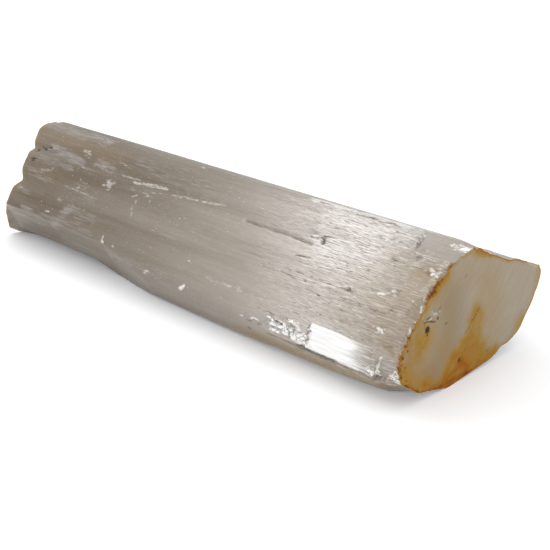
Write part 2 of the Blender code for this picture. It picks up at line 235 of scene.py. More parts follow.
# Splinter scars: spindle-shaped troughs where slivers of fibre lifted off, steep on one side. They crowd
# the third of the log next to the saw cut, thin out towards the middle, and are rare beyond it.
SCARS = 320
SCAR_RUN = (-60.0, 158.0)
SCAR_CROWDING = (2.6, 1.5)
SCAR_GIRTH = (-14.0, 64.0)
SCAR_LENGTH = (5.0, 30.0)
SCAR_WIDTH = (0.7, 1.5)
SCAR_DEPTH = (0.05, 0.20)
SCAR_SKEW = 0.006
SCAR_SHALLOWEST = 0.35
scarred = np.zeros(len(run))
scar_rng = np.random.default_rng(23)
for _ in range(SCARS):
    nearness = scar_rng.beta(*SCAR_CROWDING)
    centre_run = SCAR_RUN[0] + (SCAR_RUN[1] - SCAR_RUN[0]) * nearness
    centre_girth = scar_rng.uniform(*SCAR_GIRTH)
    half_length = scar_rng.uniform(*SCAR_LENGTH) / 2
    half_width = scar_rng.uniform(*SCAR_WIDTH) / 2
    depth = scar_rng.uniform(*SCAR_DEPTH) * (SCAR_SHALLOWEST + (1 - SCAR_SHALLOWEST) * nearness)
    steep_side = scar_rng.choice([-1.0, 1.0])
    skew = scar_rng.normal(0, SCAR_SKEW)
    along = (run - centre_run) / half_length
    across = (around(centre_girth) - skew * (run - centre_run)) / half_width
    inside = (np.abs(along) < 1) & (np.abs(across) < 1)
    trough = (1 - along[inside] ** 2) * (1 - across[inside] * steep_side) / 2
    relief[inside] -= depth * trough
    scarred[inside] = np.maximum(scarred[inside], depth / SCAR_DEPTH[1] * trough)

# The sawn edge is bitten: the saw broke small shells of spar out of it all round, most on the left,
# and behind the crest the log is dished. SAWN_EDGE gives how far the edge lies out from the smooth skin
# at each girth, EDGE_REACH how far back along the log that carries.
SAWN_EDGE = [
    (0, -0.4), (6, -0.3), (10, 0.1), (14.5, 0.5), (18.3, 0.6), (21, 0.2), (24.5, 0.2), (28.6, 0.4),
    (32.6, 0.5), (36, 0.2), (38.8, -0.9), (41.3, -2), (44.6, -1.5), (48, -0.5), (51.4, 0.1), (57.5, 0.4),
    (63, 0.5), (70, 0.5), (75, 0.2), (80, 0), (121, 0), (141, -0.2), (149, -0.7), (156, -1.6), (160, -1.8),
    (163.3, -1.6), (167, -2.7), (169, -2.1), (172.6, -0.5), (180, 0.2), (183, 0.6), (187, -0.6),
    (189.6, -1.4), (193, -2), (202, -2.3), (205, -2.1), (212, -1.3), (218, -0.7), (221, 0.3), (225, 0),
    (241, 0), (246, -0.4), (251, -1.6), (262, -1.7), (270, -2.3), (276, -1.5), (282, -0.6), (GIRTH, -0.4),
]
EDGE_REACH = [
    (0, 5), (38, 5), (46, 7), (60, 4), (120, 8), (158, 6), (165, 3.5), (172, 4), (190, 9), (210, 9),
    (222, 5), (240, 12), (250, 20), (262, 26), (275, 12), (GIRTH, 5),
]
CHIPS = 120
CHIPS_IN_FRONT = 0.72
FRONT_GIRTH = (-6.0, 92.0)
CHIP_WIDTH = (0.8, 2.4)
CHIP_DEPTH_IN_FRONT = (0.15, 0.7)
CHIP_DEPTH_BEHIND = (0.08, 0.30)
CHIP_REACH = (0.8, 3.4)
relief += between(SAWN_EDGE, girth) * bell(from_saw, between(EDGE_REACH, girth))
chip_rng = np.random.default_rng(7)
for _ in range(CHIPS):
    in_front = chip_rng.uniform() < CHIPS_IN_FRONT
    centre = chip_rng.uniform(*(FRONT_GIRTH if in_front else (FRONT_GIRTH[1], GIRTH)))
    half = chip_rng.uniform(*CHIP_WIDTH)
    depth = chip_rng.uniform(*(CHIP_DEPTH_IN_FRONT if in_front else CHIP_DEPTH_BEHIND))
    reach = chip_rng.uniform(*CHIP_REACH)
    relief -= depth * bell(around(centre), half) * bell(from_saw, reach)

# The underside stays flat where the log rests, from its far third to the cut, and the relief so far is
# laid on the smooth skin.
REST_PAD_FROM = -60.0
REST_PAD_GIRTH = (112.0, 146.0)
on_pad = (run > REST_PAD_FROM) & (girth > REST_PAD_GIRTH[0]) & (girth < REST_PAD_GIRTH[1])
relief[on_pad] = 0.0
outward = outward_at(girth)
skin = skin_at(girth) + outward * relief[:, None]

# Cleavage ledges: where spar split off flat. The one by the sawn end is a window as bright as a mirror,
# and smaller steps crumble away beside it. Each has run from, to, girth from, to, depth, lean across,
# lean along, how far its ends slant along the log per millimetre of girth, and how ragged its borders are.
LEDGES = {
    "mirror_cleavage": (109, 147, 64.3, 79.6, 0.5, 0, 0.35, -0.2, 0.25),
    "steps_by_mirror": (95, 109, 69.5, 79, 0.7, 5, 2, -0.5, 1),
    "steps_beyond": (82, 96, 69.5, 78.5, 0.8, -5, 2.5, 0.7, 1.2),
    "last_step": (66, 79, 71.5, 77.5, 0.5, -4, 3, -0.9, 1),
    "upper_step": (98, 109.5, 65.6, 69.5, 0.35, 6, 0.8, 0, 0.6),
    "corner_flake": (149, 168, 66, 81, 0.6, 5, -1.5, -0.35, 0.8),
    "crest_patch": (137, 168, -5, 13.6, 0.55, 1.2, 0, 0.35, 0.4),
    "crest_flake": (118, 136, -5, 4, 0.5, -2, 0.8, 0.6, 0.9),
    "back_step_a": (-95, 70, 246, 262, 1, 3, 0.7, 1.6, 1),
    "back_step_b": (20, 180, 222, 233, 1.2, -4, 0.8, 2, 1),
    "back_step_c": (-190, -30, 205, 222, 1.2, 4, -0.8, -1.4, 1),
    "belly_step": (-120, 40, 160, 176, 0.9, 3.5, 0.6, 1.2, 0.8),
}
LEDGE_BITE = 0.3
PAST_CREST = 40.0
MIRROR_REFLECTION_FADE = [(109, 1), (128, 1), (134, 0.72), (139, 0.34), (144, 0.12), (149, 0)]
face_girth = np.where(girth > GIRTH - PAST_CREST, girth - GIRTH, girth)
ragged_run = grains((5.0, 1.3, 31, 1.6), (3.0, 0.9, 32, 0.8))
ragged_girth = grains((7.0, 2.0, 33, 0.8), (3.5, 1.2, 34, 0.4))


def ledge_patch(ledge):
    """Which points lie in the ledge's patch, its borders ragged."""
    run_from, run_to, girth_from, girth_to, *_, slant, ragged = ledge
    middle = (girth_from + girth_to) / 2
    along = run + ragged * ragged_run - slant * around(middle)
    across = np.abs(around(middle) + ragged * ragged_girth)
    return (along > run_from) & (along < run_to) & (across < (girth_to - girth_from) / 2) & on_skin


def split_ledge(points, ledge):
    """Shave the skin down to a leaning plane inside the ledge's patch."""
    run_from, run_to, girth_from, girth_to, depth, lean_across, lean_along, *_ = ledge
    middle = (girth_from + girth_to) / 2
    at, out = skin_at(middle), outward_at(middle)
    down = np.array([out[1], -out[0]])
    if down @ (skin_at(girth_to) - at) < 0:
        down = -down
    sag = np.linalg.norm(at - (skin_at(girth_from) + skin_at(girth_to)) / 2)
    local = points - at
    across, height = local @ down, local @ out
    along = run - (run_from + run_to) / 2
    floor = -max(depth, sag + LEDGE_BITE * depth)
    floor = floor - across * math.tan(math.radians(lean_across)) - along * math.tan(math.radians(lean_along))
    lowered = ledge_patch(ledge) & (height > floor)
    return points + np.where(lowered, floor - height, 0.0)[:, None] * out


for ledge in LEDGES.values():
    skin = split_ledge(skin, ledge)
smooth_patch = ledge_patch(LEDGES["crest_patch"])
# The mirror window's near-white is a painted reflection, faded out towards the cut by the table above.
mirror_reflection = ledge_patch(LEDGES["mirror_cleavage"]) * between(MIRROR_REFLECTION_FADE, run + grains((8.0, 1.2, 41, 2.5)))

# Shattered spar: round the mirror window the crystal is crushed into small tilted flakes, white where
# air got under them, with the cracks between them darkened brown. Zones are run from, to, girth from,
# to, and how much of the zone is crushed.
SHATTERED = [
    (96, 109, 69.8, 79.4, 1), (82.5, 96, 69.2, 78.4, 0.9), (70.5, 74, 72.6, 75, 0.35),
    (97.5, 104, 66.4, 68.6, 0.7), (154, 162.5, 73.5, 80.5, 0.36), (143, 149.5, 74, 79.6, 0.5),
    (151, 162.5, -1, 4.6, 0.37), (146.4, 150.2, 54.4, 57.8, 0.55), (143, 148, 36, 40.5, 0.35),
    (155.5, 161.5, 20.8, 24.6, 0.5),
]
FLAKE_LONG = 3.0
FLAKE_WIDE = 1.6
FLAKE_AREA = 3.6
FLAKE_SLANT = 0.45
FLAKE_HEIGHT = (-0.5, 0.1)
FLAKE_TILT_ALONG = 0.16
FLAKE_TILT_ACROSS = 0.22
FLAKE_LIMITS = (-0.8, 0.35)
ZONE_BORDER = 1.2
ZONE_SIDES_STEEPER = 1.4
shatter = np.zeros(len(run))
flake_rng = np.random.default_rng(5)
for run_from, run_to, girth_from, girth_to, crushed in SHATTERED:
    edge = np.minimum.reduce([run + ragged_run - run_from, run_to - run - ragged_run,
                              (face_girth + ragged_girth - girth_from) * ZONE_SIDES_STEEPER,
                              (girth_to - face_girth - ragged_girth) * ZONE_SIDES_STEEPER])
    zone = (edge > 0) & on_skin
    count = int((run_to - run_from) * (girth_to - girth_from) / FLAKE_AREA) + 3
    seeds = np.column_stack([flake_rng.uniform(run_from, run_to, count),
                             flake_rng.uniform(girth_from, girth_to, count)])
    across = face_girth[zone, None] - seeds[:, 1]
    slanted = run[zone, None] - seeds[:, 0] + FLAKE_SLANT * across
    nearest = np.argmin(np.hypot(slanted / FLAKE_LONG, across / FLAKE_WIDE), axis=1)
    rows = np.arange(len(nearest))
    height = flake_rng.uniform(*FLAKE_HEIGHT, count)[nearest]
    tilt_along = flake_rng.normal(0, FLAKE_TILT_ALONG, count)[nearest]
    tilt_across = flake_rng.normal(0, FLAKE_TILT_ACROSS, count)[nearest]
    lift = height + tilt_along * slanted[rows, nearest] + tilt_across * across[rows, nearest]
    fade = np.clip(edge[zone] / ZONE_BORDER, 0, 1)
    skin[zone] += outward[zone] * (crushed * np.clip(lift, *FLAKE_LIMITS) * fade)[:, None]
    shatter[zone] = np.maximum(shatter[zone], crushed * fade)

# Cracks and grooves, as (run, girth) paths with a half width, a depth and how dark they are made:
# the long one across the broad face ends in a squiggle, and another runs under the mirror window.
GROOVES = [
    # The first groove, the long crack, is darkened as painted shade: the shadow of a low step along it.
    ([(43, 27.9), (60, 28), (74, 27.8), (81, 28.3), (88.8, 28.5)], 1, 0.34, 0.48),
    ([(76, 28.7), (89, 28.8)], 0.45, 0.2, 0.6), ([(85.4, 24.5), (89, 24.4), (92.4, 23.4)], 0.5, 0.3, 0.7),
    ([(84.1, 23.1), (88.3, 21.8)], 0.4, 0.2, 0.5), ([(92.6, 22.6), (94.4, 26)], 0.9, 0.42, 0.9),
    ([(92.5, 22.2), (98.2, 21.3)], 0.5, 0.2, 0.55), ([(70, 21.2), (88, 21)], 0.35, 0.12, 0.4),
    ([(85, 36.8), (93, 36)], 0.45, 0.22, 0.75), ([(133.4, 21.6), (136, 22.9)], 0.7, 0.28, 0.55),
    ([(137, 22.6), (145, 23), (152, 22.8)], 0.45, 0.22, 0.45),
    ([(142.3, 16), (145.6, 17.8), (145.2, 20)], 0.8, 0.22, 0.36),
    ([(80, 81.2), (92, 81), (103, 80.8)], 0.9, 0.35, 0.5),
    ([(101, 80.6), (112, 81.4), (124, 80.9)], 1.4, 0.5, 0.8),
    ([(124, 81), (136, 81.4), (147, 81.8)], 0.9, 0.4, 0.5), ([(110, 65.2), (109, 67.4), (109.7, 69.4),
    (108, 71.2), (108.3, 74), (106.6, 76), (106.4, 78.6)], 0.5, 0.45, 0.62),
    ([(97.4, 70), (95.8, 73.5), (95.6, 78.5)], 0.5, 0.35, 0.65),
    ([(101.4, 70.2), (99.6, 73), (98.6, 75.5)], 0.5, 0.3, 0.55),
    ([(152, 68), (150.6, 72.5), (148, 78.5)], 0.5, 0.3, 0.25),
    ([(135.2, -3), (135.6, 1), (136.4, 6), (137.4, 9.7)], 0.35, 0.1, 0.34),
    ([(137.6, 10.6), (138, 11.2)], 0.6, 0.12, 0.34), ([(67.4, 77.2), (70.6, 77)], 0.7, 0.25, 0.6),
    ([(74.8, 76.8), (77, 76.6)], 0.6, 0.2, 0.6), ([(98, 70.4), (107, 70.9)], 0.6, 0.2, 0.5),
    ([(88, 71), (91.6, 71.6)], 0.9, 0.4, 0.7), ([(85.4, 75), (91, 75.4)], 0.9, 0.35, 0.6),
    ([(71.5, 0.2), (74.6, 0.8)], 1.2, 0.3, 0.55), ([(76.5, 0.8), (80.5, 1)], 0.6, 0.25, 0.65),
    ([(89.5, 1.6), (93, 0.8)], 0.5, 0.22, 0.65), ([(91.2, -5.6), (93.2, -7.5)], 0.8, 0.2, 0.65),
    ([(96.5, 2.3), (103, 1.8)], 0.5, 0.24, 0.75), ([(104, 1.6), (108.5, 0.9)], 0.8, 0.3, 0.85),
    ([(111, 2.4), (113.6, 2.2)], 0.6, 0.28, 0.8), ([(114.6, 1.5), (119.5, 0.2)], 0.5, 0.28, 0.85),
    ([(119.5, 0.6), (124, 0.4)], 0.5, 0.24, 0.75), ([(124, 6.3), (127, 6.2)], 0.4, 0.18, 0.55),
    ([(128, 5.8), (131, 6)], 0.4, 0.18, 0.55), ([(120, 12.8), (123, 12.8)], 0.4, 0.18, 0.55),
    ([(126.5, 12.5), (128.6, 12.4)], 0.4, 0.18, 0.5), ([(62, -6), (63, -5)], 0.8, 0.2, 0.6),
]
GROOVE_FOOT = 1.6
GROOVE_WANDER = 0.35


def off_path(path, first, second):
    """Distance of every point from a path, measured in the two given coordinates."""
    best = np.full(len(first), 1e9)
    for (a0, a1), (b0, b1) in zip(path, path[1:]):
        step0, step1 = b0 - a0, b1 - a1
        reach = ((first - a0) * step0 + (second - a1) * step1) / (step0 ** 2 + step1 ** 2)
        reach = np.clip(reach, 0, 1)
        best = np.minimum(best, np.hypot(first - a0 - reach * step0, second - a1 - reach * step1))
    return best


darkened = np.zeros(len(run))
for path, half_width, depth, darkness in GROOVES:
    off = off_path(path, run, face_girth + GROOVE_WANDER * ragged_girth)
    groove = bell(off, GROOVE_FOOT * half_width) * on_skin
    skin -= outward * (depth * groove)[:, None]
    darkened = np.maximum(darkened, groove * darkness)

# Pits: little shell-shaped holes, most of them darkened. Each has run, girth, half length, half width,
# depth and how dark it is made.
PITS = [
    (-136.4, 23, 1.9, 0.9, 0.9, 1.2), (-139.4, 25.2, 1.5, 0.9, 0.8, 1.2), (-142.6, 24.4, 1, 0.7, 0.5, 1),
    (-145.4, 27.6, 1.5, 1.2, 0.9, 1.2), (-135.6, 29.2, 1, 0.6, 0.4, 0.7), (-142.8, 34.6, 2.1, 1.2, 1, 1.2),
    (-140.4, 33.4, 1.2, 0.8, 0.6, 0.9), (-110.3, 41.9, 1, 0.7, 0.4, 0.8), (-154.4, 5.9, 1.2, 0.7, 0.3, 0.8),
    (-156.4, 85.5, 1.6, 1.6, 0.5, 0.8), (155.4, 61, 1.2, 0.8, 0.3, 0.4), (153.2, 62.6, 0.8, 0.6, 0.2, 0.35),
    (122, 43.8, 1.4, 1.1, 0.8, 0.75), (146, 38.2, 2.4, 2.7, 0.7, 0.25), (148.6, 46, 1.2, 0.9, 0.5, 0.35),
    (148.4, 56.2, 2, 1.5, 0.7, 0.2), (98, 47, 1.4, 0.6, 0.3, 0.4), (108.6, 51, 1, 0.7, 0.4, 0.5),
    (145.4, 17.2, 1.4, 2, 0.5, 0.3), (144, 11.2, 1.2, 0.9, 0.4, 0.25), (136, 22.4, 1.4, 0.9, 0.5, 0.45),
    (157.5, 22.6, 2.4, 1.8, 0.8, 0.2), (66.2, 83, 1.2, 0.8, 0.5, 0.6), (126.5, 32.2, 0.9, 0.7, 0.3, 0.4),
    (83, 53.5, 0.8, 0.6, 0.3, 0.3), (65, 56, 0.8, 0.8, 0.3, 0), (136, 63.4, 1.2, 0.8, 0.4, 0.2),
    (60, 255, 4, 3.4, 1.5, 0.1), (-60, 236, 3.5, 3, 1.3, 0.1),
]
PIT_RAGGED_ALONG = 0.5
PIT_RAGGED_ACROSS = 0.4
PIT_FOOT = 1.5
for pit_run, pit_girth, half_length, half_width, depth, darkness in PITS:
    off = np.hypot((run - pit_run + PIT_RAGGED_ALONG * ragged_run) / half_length,
                   (around(pit_girth) + PIT_RAGGED_ACROSS * ragged_girth) / half_width)
    hollow = bell(off, PIT_FOOT) * on_skin
    skin -= outward * (depth * hollow)[:, None]
    darkened = np.maximum(darkened, darkness * np.clip(hollow * PIT_FOOT, 0, 1))

# Planes that trim the section: the foot under the broad face, leaning in and out along the log, the
# steep facet where a splinter came off the far third, the heel, lifted off the ground at the cut, and
# the toe, chipped off the foot's corner. Each has a normal (y, z) and how far out it lies at each run.
FOOT_NORMAL = (-0.565, -0.825)
FOOT_OUT = [
    (-162.5, 23.6), (-156, 22), (-146, 20.2), (-125, 19.7), (-71, 20), (-62, 21.7), (-54, 23.1),
    (-41, 24.7), (-27, 25.3), (-5, 26), (47, 25.8), (61, 25.4), (72, 25.3), (76, 24.7), (108, 24.5),
    (118, 24.2), (132, 23.6), (146, 22.5), (150, 20.4), (156, 18.6), (162.5, 18),
]
SPLINTER_NORMAL = (-0.879, -0.476)
SPLINTER_OUT = [(-162.5, 40), (-157, 38), (-150, 36.7), (-50, 36.7), (-12, 41.8), (162.5, 44)]
HEEL_NORMAL = (0.078, -0.997)
HEEL_OUT = [(-162.5, 2), (148, 1.6), (156, 0.2), (162.5, -1.3)]
TOE_NORMAL = (-0.256, -0.967)
TOE_OUT = [(-162.5, 14), (146, 14), (150, 9), (156, 6.6), (162.5, 4.6)]
TOE_ROUGHER = 2.0


def trim(points, normal, out):
    """Pull points towards the core until they lie inside a plane that leans along the log."""
    ray = points - CORE
    reach = ray @ np.array(normal)
    room = out - CORE @ np.array(normal)
    pull = (room / np.maximum(reach, 1e-6))[:, None]
    return np.where((reach > room)[:, None], CORE + ray * pull, points)


uneven = grains((22.0, 2.4, 51, 0.12), (9.0, 1.1, 52, 0.06))
skin = trim(skin, FOOT_NORMAL, between(FOOT_OUT, run) + uneven)
skin = trim(skin, SPLINTER_NORMAL, between(SPLINTER_OUT, run) + uneven)
skin = trim(skin, HEEL_NORMAL, between(HEEL_OUT, run))
skin = trim(skin, TOE_NORMAL, between(TOE_OUT, run) + TOE_ROUGHER * uneven)
step_in = np.clip(FAR_ROUND - from_far, 0, FAR_ROUND)
inset = FAR_ROUND - np.sqrt(FAR_ROUND ** 2 - step_in ** 2)
to_core = CORE - skin
skin = skin + to_core * (inset / np.linalg.norm(to_core, axis=1))[:, None]
skin[:, 1] = np.maximum(0.0, skin[:, 1])

section = CORE + (skin - CORE) * radius[:, None]
x = run.copy()
x[far_cap] = (FAR_FACE_X + (rim_x - FAR_FACE_X) * radius ** 2)[far_cap]

# The sawn face: flat, with faint nearly upright saw lines, a few cracks and broken pits by its left
# rim, and a crumbled border. Places on it are (y, z) in millimetres. A pit has two half sizes, a depth
# and how dark it is made; a crack is a path with a depth.
SAW_PITS = [
    (-36.2, 35.2, 1.5, 1.7, 1.4, 1.2), (-10.6, 11.4, 0.9, 0.9, 0.9, 1.1), (-29.2, 39, 0.9, 0.8, 0.5, 0.8),
    (-32.6, 42.8, 2, 1.5, 0.8, 0.3), (-28.6, 43, 1.4, 1.4, 0.6, 0.35), (-36, 40.8, 1.6, 1, 0.8, 0.6),
    (-22.4, 34.5, 1.2, 0.6, 0.3, 0.45), (-10.2, 53.2, 1, 1.2, 0.25, 0.3), (13, 8.6, 1.4, 0.8, 0.4, 0.35),
    (-43, 46.5, 1.8, 1.6, 0.7, 0.35), (-47.5, 39, 1.6, 1.2, 0.7, 0.3), (-4, 65, 1, 0.8, 0.6, 0.5),
    (-54, 21, 1.6, 1.4, 0.7, 0.25), (-49, 11.8, 2.2, 1, 0.7, 0.3),
]
SAW_CRACKS = [
    ([(4, 34), (1.2, 31.6), (-1.5, 29)], 0.35), ([(-1.5, 29), (-4.4, 25.8), (-7, 24)], 0.28),
    ([(-3.5, 25.5), (-1.4, 22), (0.2, 20)], 0.2), ([(-4.5, 16.5), (-7.4, 13.6), (-9.5, 11)], 0.26),
    ([(-12, 8), (-20, 4.6), (-27, 2.4)], 0.22), ([(-9, 20), (-14, 13)], 0.12),
    ([(22, 6), (24, 9), (26, 14)], 0.22), ([(15.5, 9.5), (18.5, 17.5)], 0.2),
    ([(-39, 39.6), (-35.5, 39.2), (-31, 37.6)], 0.5), ([(-17.5, 38.5), (-15.5, 41.5)], 0.12),
    ([(52.5, 37.5), (47, 27), (40.5, 14)], 0.1),
]
CRACK_HALF_WIDTH = 0.85
CRACK_WANDER = 0.3
CRACK_DARKENING = 1.3
SAW_PIT_FOOT = 1.45
SAW_PIT_WANDER = 0.4
SAW_PIT_DARKENING = 1.6
SAW_LINE_LEAN = 0.12
SAW_LINE_STRETCH = 0.04
SAW_LINES = (0.9, 63, 0.015)
SAW_SWELL = (9.0, 64, 0.05)
CRUMBLE = (1.8, 65)
CRUMBLE_DEPTH = 0.5
CRUMBLE_SHARE = 0.15
CRUMBLE_REACH = 3.0
CRUMBLE_GIRTH = 95.0
RIM_SINK = 0.18
RIM_SINK_REACH = 1.2
DEEPEST_SINK = 3.0


def blotches(first, second, size, seed, height=1.0):
    """Smooth random blotches of this size and height over two coordinates."""
    cells = np.random.default_rng(seed).uniform(-1, 1, (256, 256))
    first, second = first / size + 128.0, second / size + 128.0
    i, j = np.floor(first).astype(int), np.floor(second).astype(int)
    s, t = first - i, second - j
    s, t = s * s * (3 - 2 * s), t * t * (3 - 2 * t)
    low = cells[i % 256, j % 256] * (1 - s) + cells[(i + 1) % 256, j % 256] * s
    high = cells[i % 256, (j + 1) % 256] * (1 - s) + cells[(i + 1) % 256, (j + 1) % 256] * s
    return height * (low * (1 - t) + high * t)


y, z = section[:, 0], section[:, 1]
on_sawn = near_cap | sawn_rim
wander = blotches(y, z, 3.0, 61, 0.9) + blotches(y, z, 1.2, 62, 0.45)
from_rim = np.linalg.norm(section - skin, axis=1)
sink = blotches(y * 1.02 + z * SAW_LINE_LEAN, z * SAW_LINE_STRETCH, *SAW_LINES) + blotches(y, z, *SAW_SWELL)
crumbled = np.clip(blotches(y, z, *CRUMBLE) + CRUMBLE_SHARE, 0, 1)
sink += CRUMBLE_DEPTH * crumbled * bell(from_rim, CRUMBLE_REACH) * (girth < CRUMBLE_GIRTH)
sink += RIM_SINK * bell(from_rim, RIM_SINK_REACH)
for pit_y, pit_z, half_y, half_z, depth, darkness in SAW_PITS:
    off = np.hypot((y - pit_y + SAW_PIT_WANDER * wander) / half_y,
                   (z - pit_z + SAW_PIT_WANDER * wander) / half_z)
    hollow = bell(off, SAW_PIT_FOOT) * on_sawn
    sink += depth * hollow
    darkened = np.maximum(darkened, darkness * np.clip(hollow * SAW_PIT_DARKENING, 0, 1))
for path, depth in SAW_CRACKS:
    crack = bell(off_path(path, y + CRACK_WANDER * wander, z), CRACK_HALF_WIDTH) * on_sawn
    sink += depth * crack
    darkened = np.maximum(darkened, CRACK_DARKENING * depth * crack)
x[near_cap] -= np.clip(sink, 0.0, DEEPEST_SINK)[near_cap]

SHARP_ANGLE = 38.0
log_mesh.vertices.foreach_set("co", (np.column_stack([x, section]) * MM).ravel())
log_mesh.shade_smooth()
log_mesh.set_sharp_from_angle(angle=math.radians(SHARP_ANGLE))
log_mesh.update()
log = bpy.data.objects.new("selenite_log", log_mesh)
bpy.context.collection.objects.link(log)

# Bruises: whitened fibres where the log was knocked or scratched, as (run, girth) paths with a half
# width and how white they are. Two of them on the crest are painted light, as marked below. The
# thinnest-stroke table keeps the narrowest wide enough for the points there. SAWN_BRUISES, as (y, z)
# paths, whiten a shell broken out of the sawn face by its left rim.
BRUISES_AND_HIGHLIGHTS = [
    # The first stroke on the next line is partly bruised fibres and partly a painted highlight on the crest.
    ([(66, -2), (96, -3), (124, -3.6)], 3.8, 0.56), ([(68, 1.8), (92, 1)], 1.2, 0.6),
    ([(-48, 27.4), (-38, 26.5), (-30, 25.6), (-22, 24.7)], 1.5, 0.58),
    ([(-62, 25.8), (-45, 25.2)], 0.6, 0.5), ([(-15, 27.4), (-6, 26.2), (6, 25.6), (23, 23.4)], 1.1, 0.44),
    ([(-32, 30.4), (-23, 29.3)], 0.9, 0.45), ([(-47, 32.4), (-40, 31.6), (-31, 32)], 0.7, 0.4),
    ([(-42, 36), (-39, 34.4), (-36.4, 38.8), (-37, 42.2), (-34, 46.4)], 0.9, 0.56),
    ([(-34, 33.8), (-30.7, 32.4), (-27.5, 34.6), (-26, 37)], 0.8, 0.5),
    ([(-17, 0.5), (-14, 1.8)], 1.4, 0.5), ([(-18, 3), (-14, 9)], 0.5, 0.35),
    ([(16, 9), (18, 17)], 0.5, 0.35), ([(26, 11.5), (29, 18)], 0.6, 0.4),
    ([(-20, 16.6), (2, 16.4)], 0.5, 0.3), ([(-20, 42.8), (20, 43.2)], 0.5, 0.22),
    ([(-14, 50.2), (6, 50.4)], 0.5, 0.3), ([(20, 13.5), (26, 15.5)], 2, 0.2),
    ([(-52, 14), (-50, 17)], 0.5, 0.3), ([(-108, 17.6), (-103, 17.2), (-99, 19)], 1.4, 0.5),
    ([(-103, 20.4), (-96, 21.4)], 0.9, 0.4), ([(-67.4, 32), (-63, 36.6)], 2.2, 0.56),
    ([(-69, 35), (-62, 32.4)], 1.8, 0.54), ([(-128, 40), (-119, 36.6)], 1.7, 0.4),
    ([(-75, 14.5), (-73, 17), (-66, 18.4), (-60, 19.8)], 0.6, 0.4),
    ([(-92, 25.2), (-78, 25.8), (-64, 26)], 0.6, 0.4), ([(-97, 29.2), (-84, 28.8)], 0.8, 0.4),
    ([(-84, 22.4), (-80, 23.8), (-77, 22.6)], 1, 0.4), ([(-88, 38.2), (-82, 38.2)], 0.5, 0.4),
    ([(-90, 40.6), (-80, 40.4)], 0.4, 0.4), ([(-90, 42.2), (-80, 42)], 0.4, 0.35),
    ([(-100, 44), (-83, 44.2), (-67.5, 44.9)], 0.4, 0.42), ([(-99, 52.8), (-96, 52.4)], 1.2, 0.45),
    ([(-144, 74.6), (-132, 72.6), (-119, 74.6), (-99, 71)], 0.7, 0.42),
    ([(-151, 64), (-146, 69), (-143, 73)], 0.9, 0.42), ([(-139, -1), (-138.4, 2.6)], 0.7, 0.6),
    ([(-141, 55), (-137, 54)], 1, 0.4), ([(-79.4, 35), (-79, 38.2)], 0.8, 0.5),
    ([(-90, 36), (-89.4, 38)], 0.7, 0.45), ([(-112, 4.2), (-102, 3.2), (-94, 5.6)], 1.4, 0.45),
    ([(-140, 5), (-112, 5.4)], 1, 0.2), ([(-88, 5.4), (-70, 5.8)], 0.8, 0.2),
    ([(-52, 1), (-51, 3)], 0.8, 0.5), ([(-101, 51.6), (-97, 51)], 0.7, 0.35),
    ([(-105.5, 62), (-103, 61.6)], 0.7, 0.7), ([(-115, 57.6), (-113, 57.4)], 0.6, 0.5),
    ([(-90, 53.8), (-72, 53.6)], 0.5, 0.35), ([(-48.9, 63), (-48.7, 66.2)], 1.2, 0.75),
    ([(-39.2, 66.4), (-38.4, 66.2)], 0.6, 0.7), ([(-11.5, 74.8), (-9, 73), (-7, 72.2)], 1.6, 0.6),
    ([(17.8, 75.6), (19.4, 74), (22.2, 71.8)], 1, 1), ([(44, 77.6), (46, 75.2), (51, 72)], 0.8, 0.25),
    ([(-47, 77), (-40, 74), (-34, 73)], 1.8, 0.3), ([(0, 63), (30, 62.6)], 0.9, 0.2),
    ([(38, 62.8), (62, 62.6)], 1.2, 0.35), ([(60, 63), (108, 62.4)], 1.2, 0.3),
    ([(138.6, 40.6), (141.6, 40)], 0.7, 0.8), ([(142.6, 39.4), (145, 36.4)], 1.2, 0.5),
    ([(146.2, 55.4), (147.8, 55.9)], 0.8, 0.95), ([(155, 21.6), (158, 22.4), (160, 24)], 1.1, 0.62),
    ([(98.6, 67.4), (103.6, 69)], 0.8, 1), ([(109.6, 68), (111.4, 68.4)], 0.8, 1),
    ([(152.8, 67), (151.2, 71), (147.8, 77.5)], 0.45, 0.9),
    ([(160.4, 71.5), (158, 75), (154, 79.2)], 0.5, 0.7), ([(134.4, 63.4), (136.4, 63)], 0.6, 0.62),
    # The first stroke on the next line is mostly painted light over the shaded wall of the crest patch's
    # step.
    ([(135.9, 0.6), (137.3, 5.4), (139.3, 11.4)], 0.8, 0.62), ([(160.8, 36), (161.2, 37.6)], 0.5, 0.6),
    ([(86.4, 23.8), (89.4, 23.2)], 0.6, 0.8), ([(70.5, 75.2), (73, 73.9), (75.6, 74.6)], 0.8, 0.8),
    ([(63, 75.9), (65, 75.5)], 0.6, 0.6), ([(120, 43), (123.6, 42.4)], 0.6, 0.5),
    ([(83, 79.4), (92, 79.8)], 0.7, 0.3), ([(107, 79.7), (130, 80), (146, 79.8)], 0.6, 0.9),
    ([(161, 39.6), (161.6, 42)], 0.5, 0.62), ([(161.4, 46.6), (162.2, 47.4)], 0.5, 0.55),
    ([(161.4, 50.4), (162.2, 53)], 0.5, 0.62), ([(161.4, 57.6), (162.2, 59.4)], 0.5, 0.65),
    ([(160.4, 71.8), (161.2, 74)], 0.6, 0.7), ([(152.4, 85.4), (154.2, 86.2)], 1.1, 0.9),
    ([(130, 79.8), (140, 78.6)], 0.8, 0.8), ([(96, 78.4), (107, 78.6)], 0.9, 1),
    ([(103.4, 71.2), (105, 76.6)], 2.3, 1),
]
SAWN_BRUISES = [
    ([(-38.4, 39), (-34.6, 40)], 0.9, 0.55), ([(-33.6, 43.6), (-30.6, 41)], 0.9, 0.5),
    ([(-40.4, 42.4), (-39, 44.6)], 0.8, 0.45), ([(-29.4, 44), (-28, 41.6)], 0.6, 0.4),
]
THINNEST_WHITE_STROKE = [(20, 0.8), (60, 0.5)]
WHITE_STROKE_FADE = [(-20, 0.8), (60, 1)]
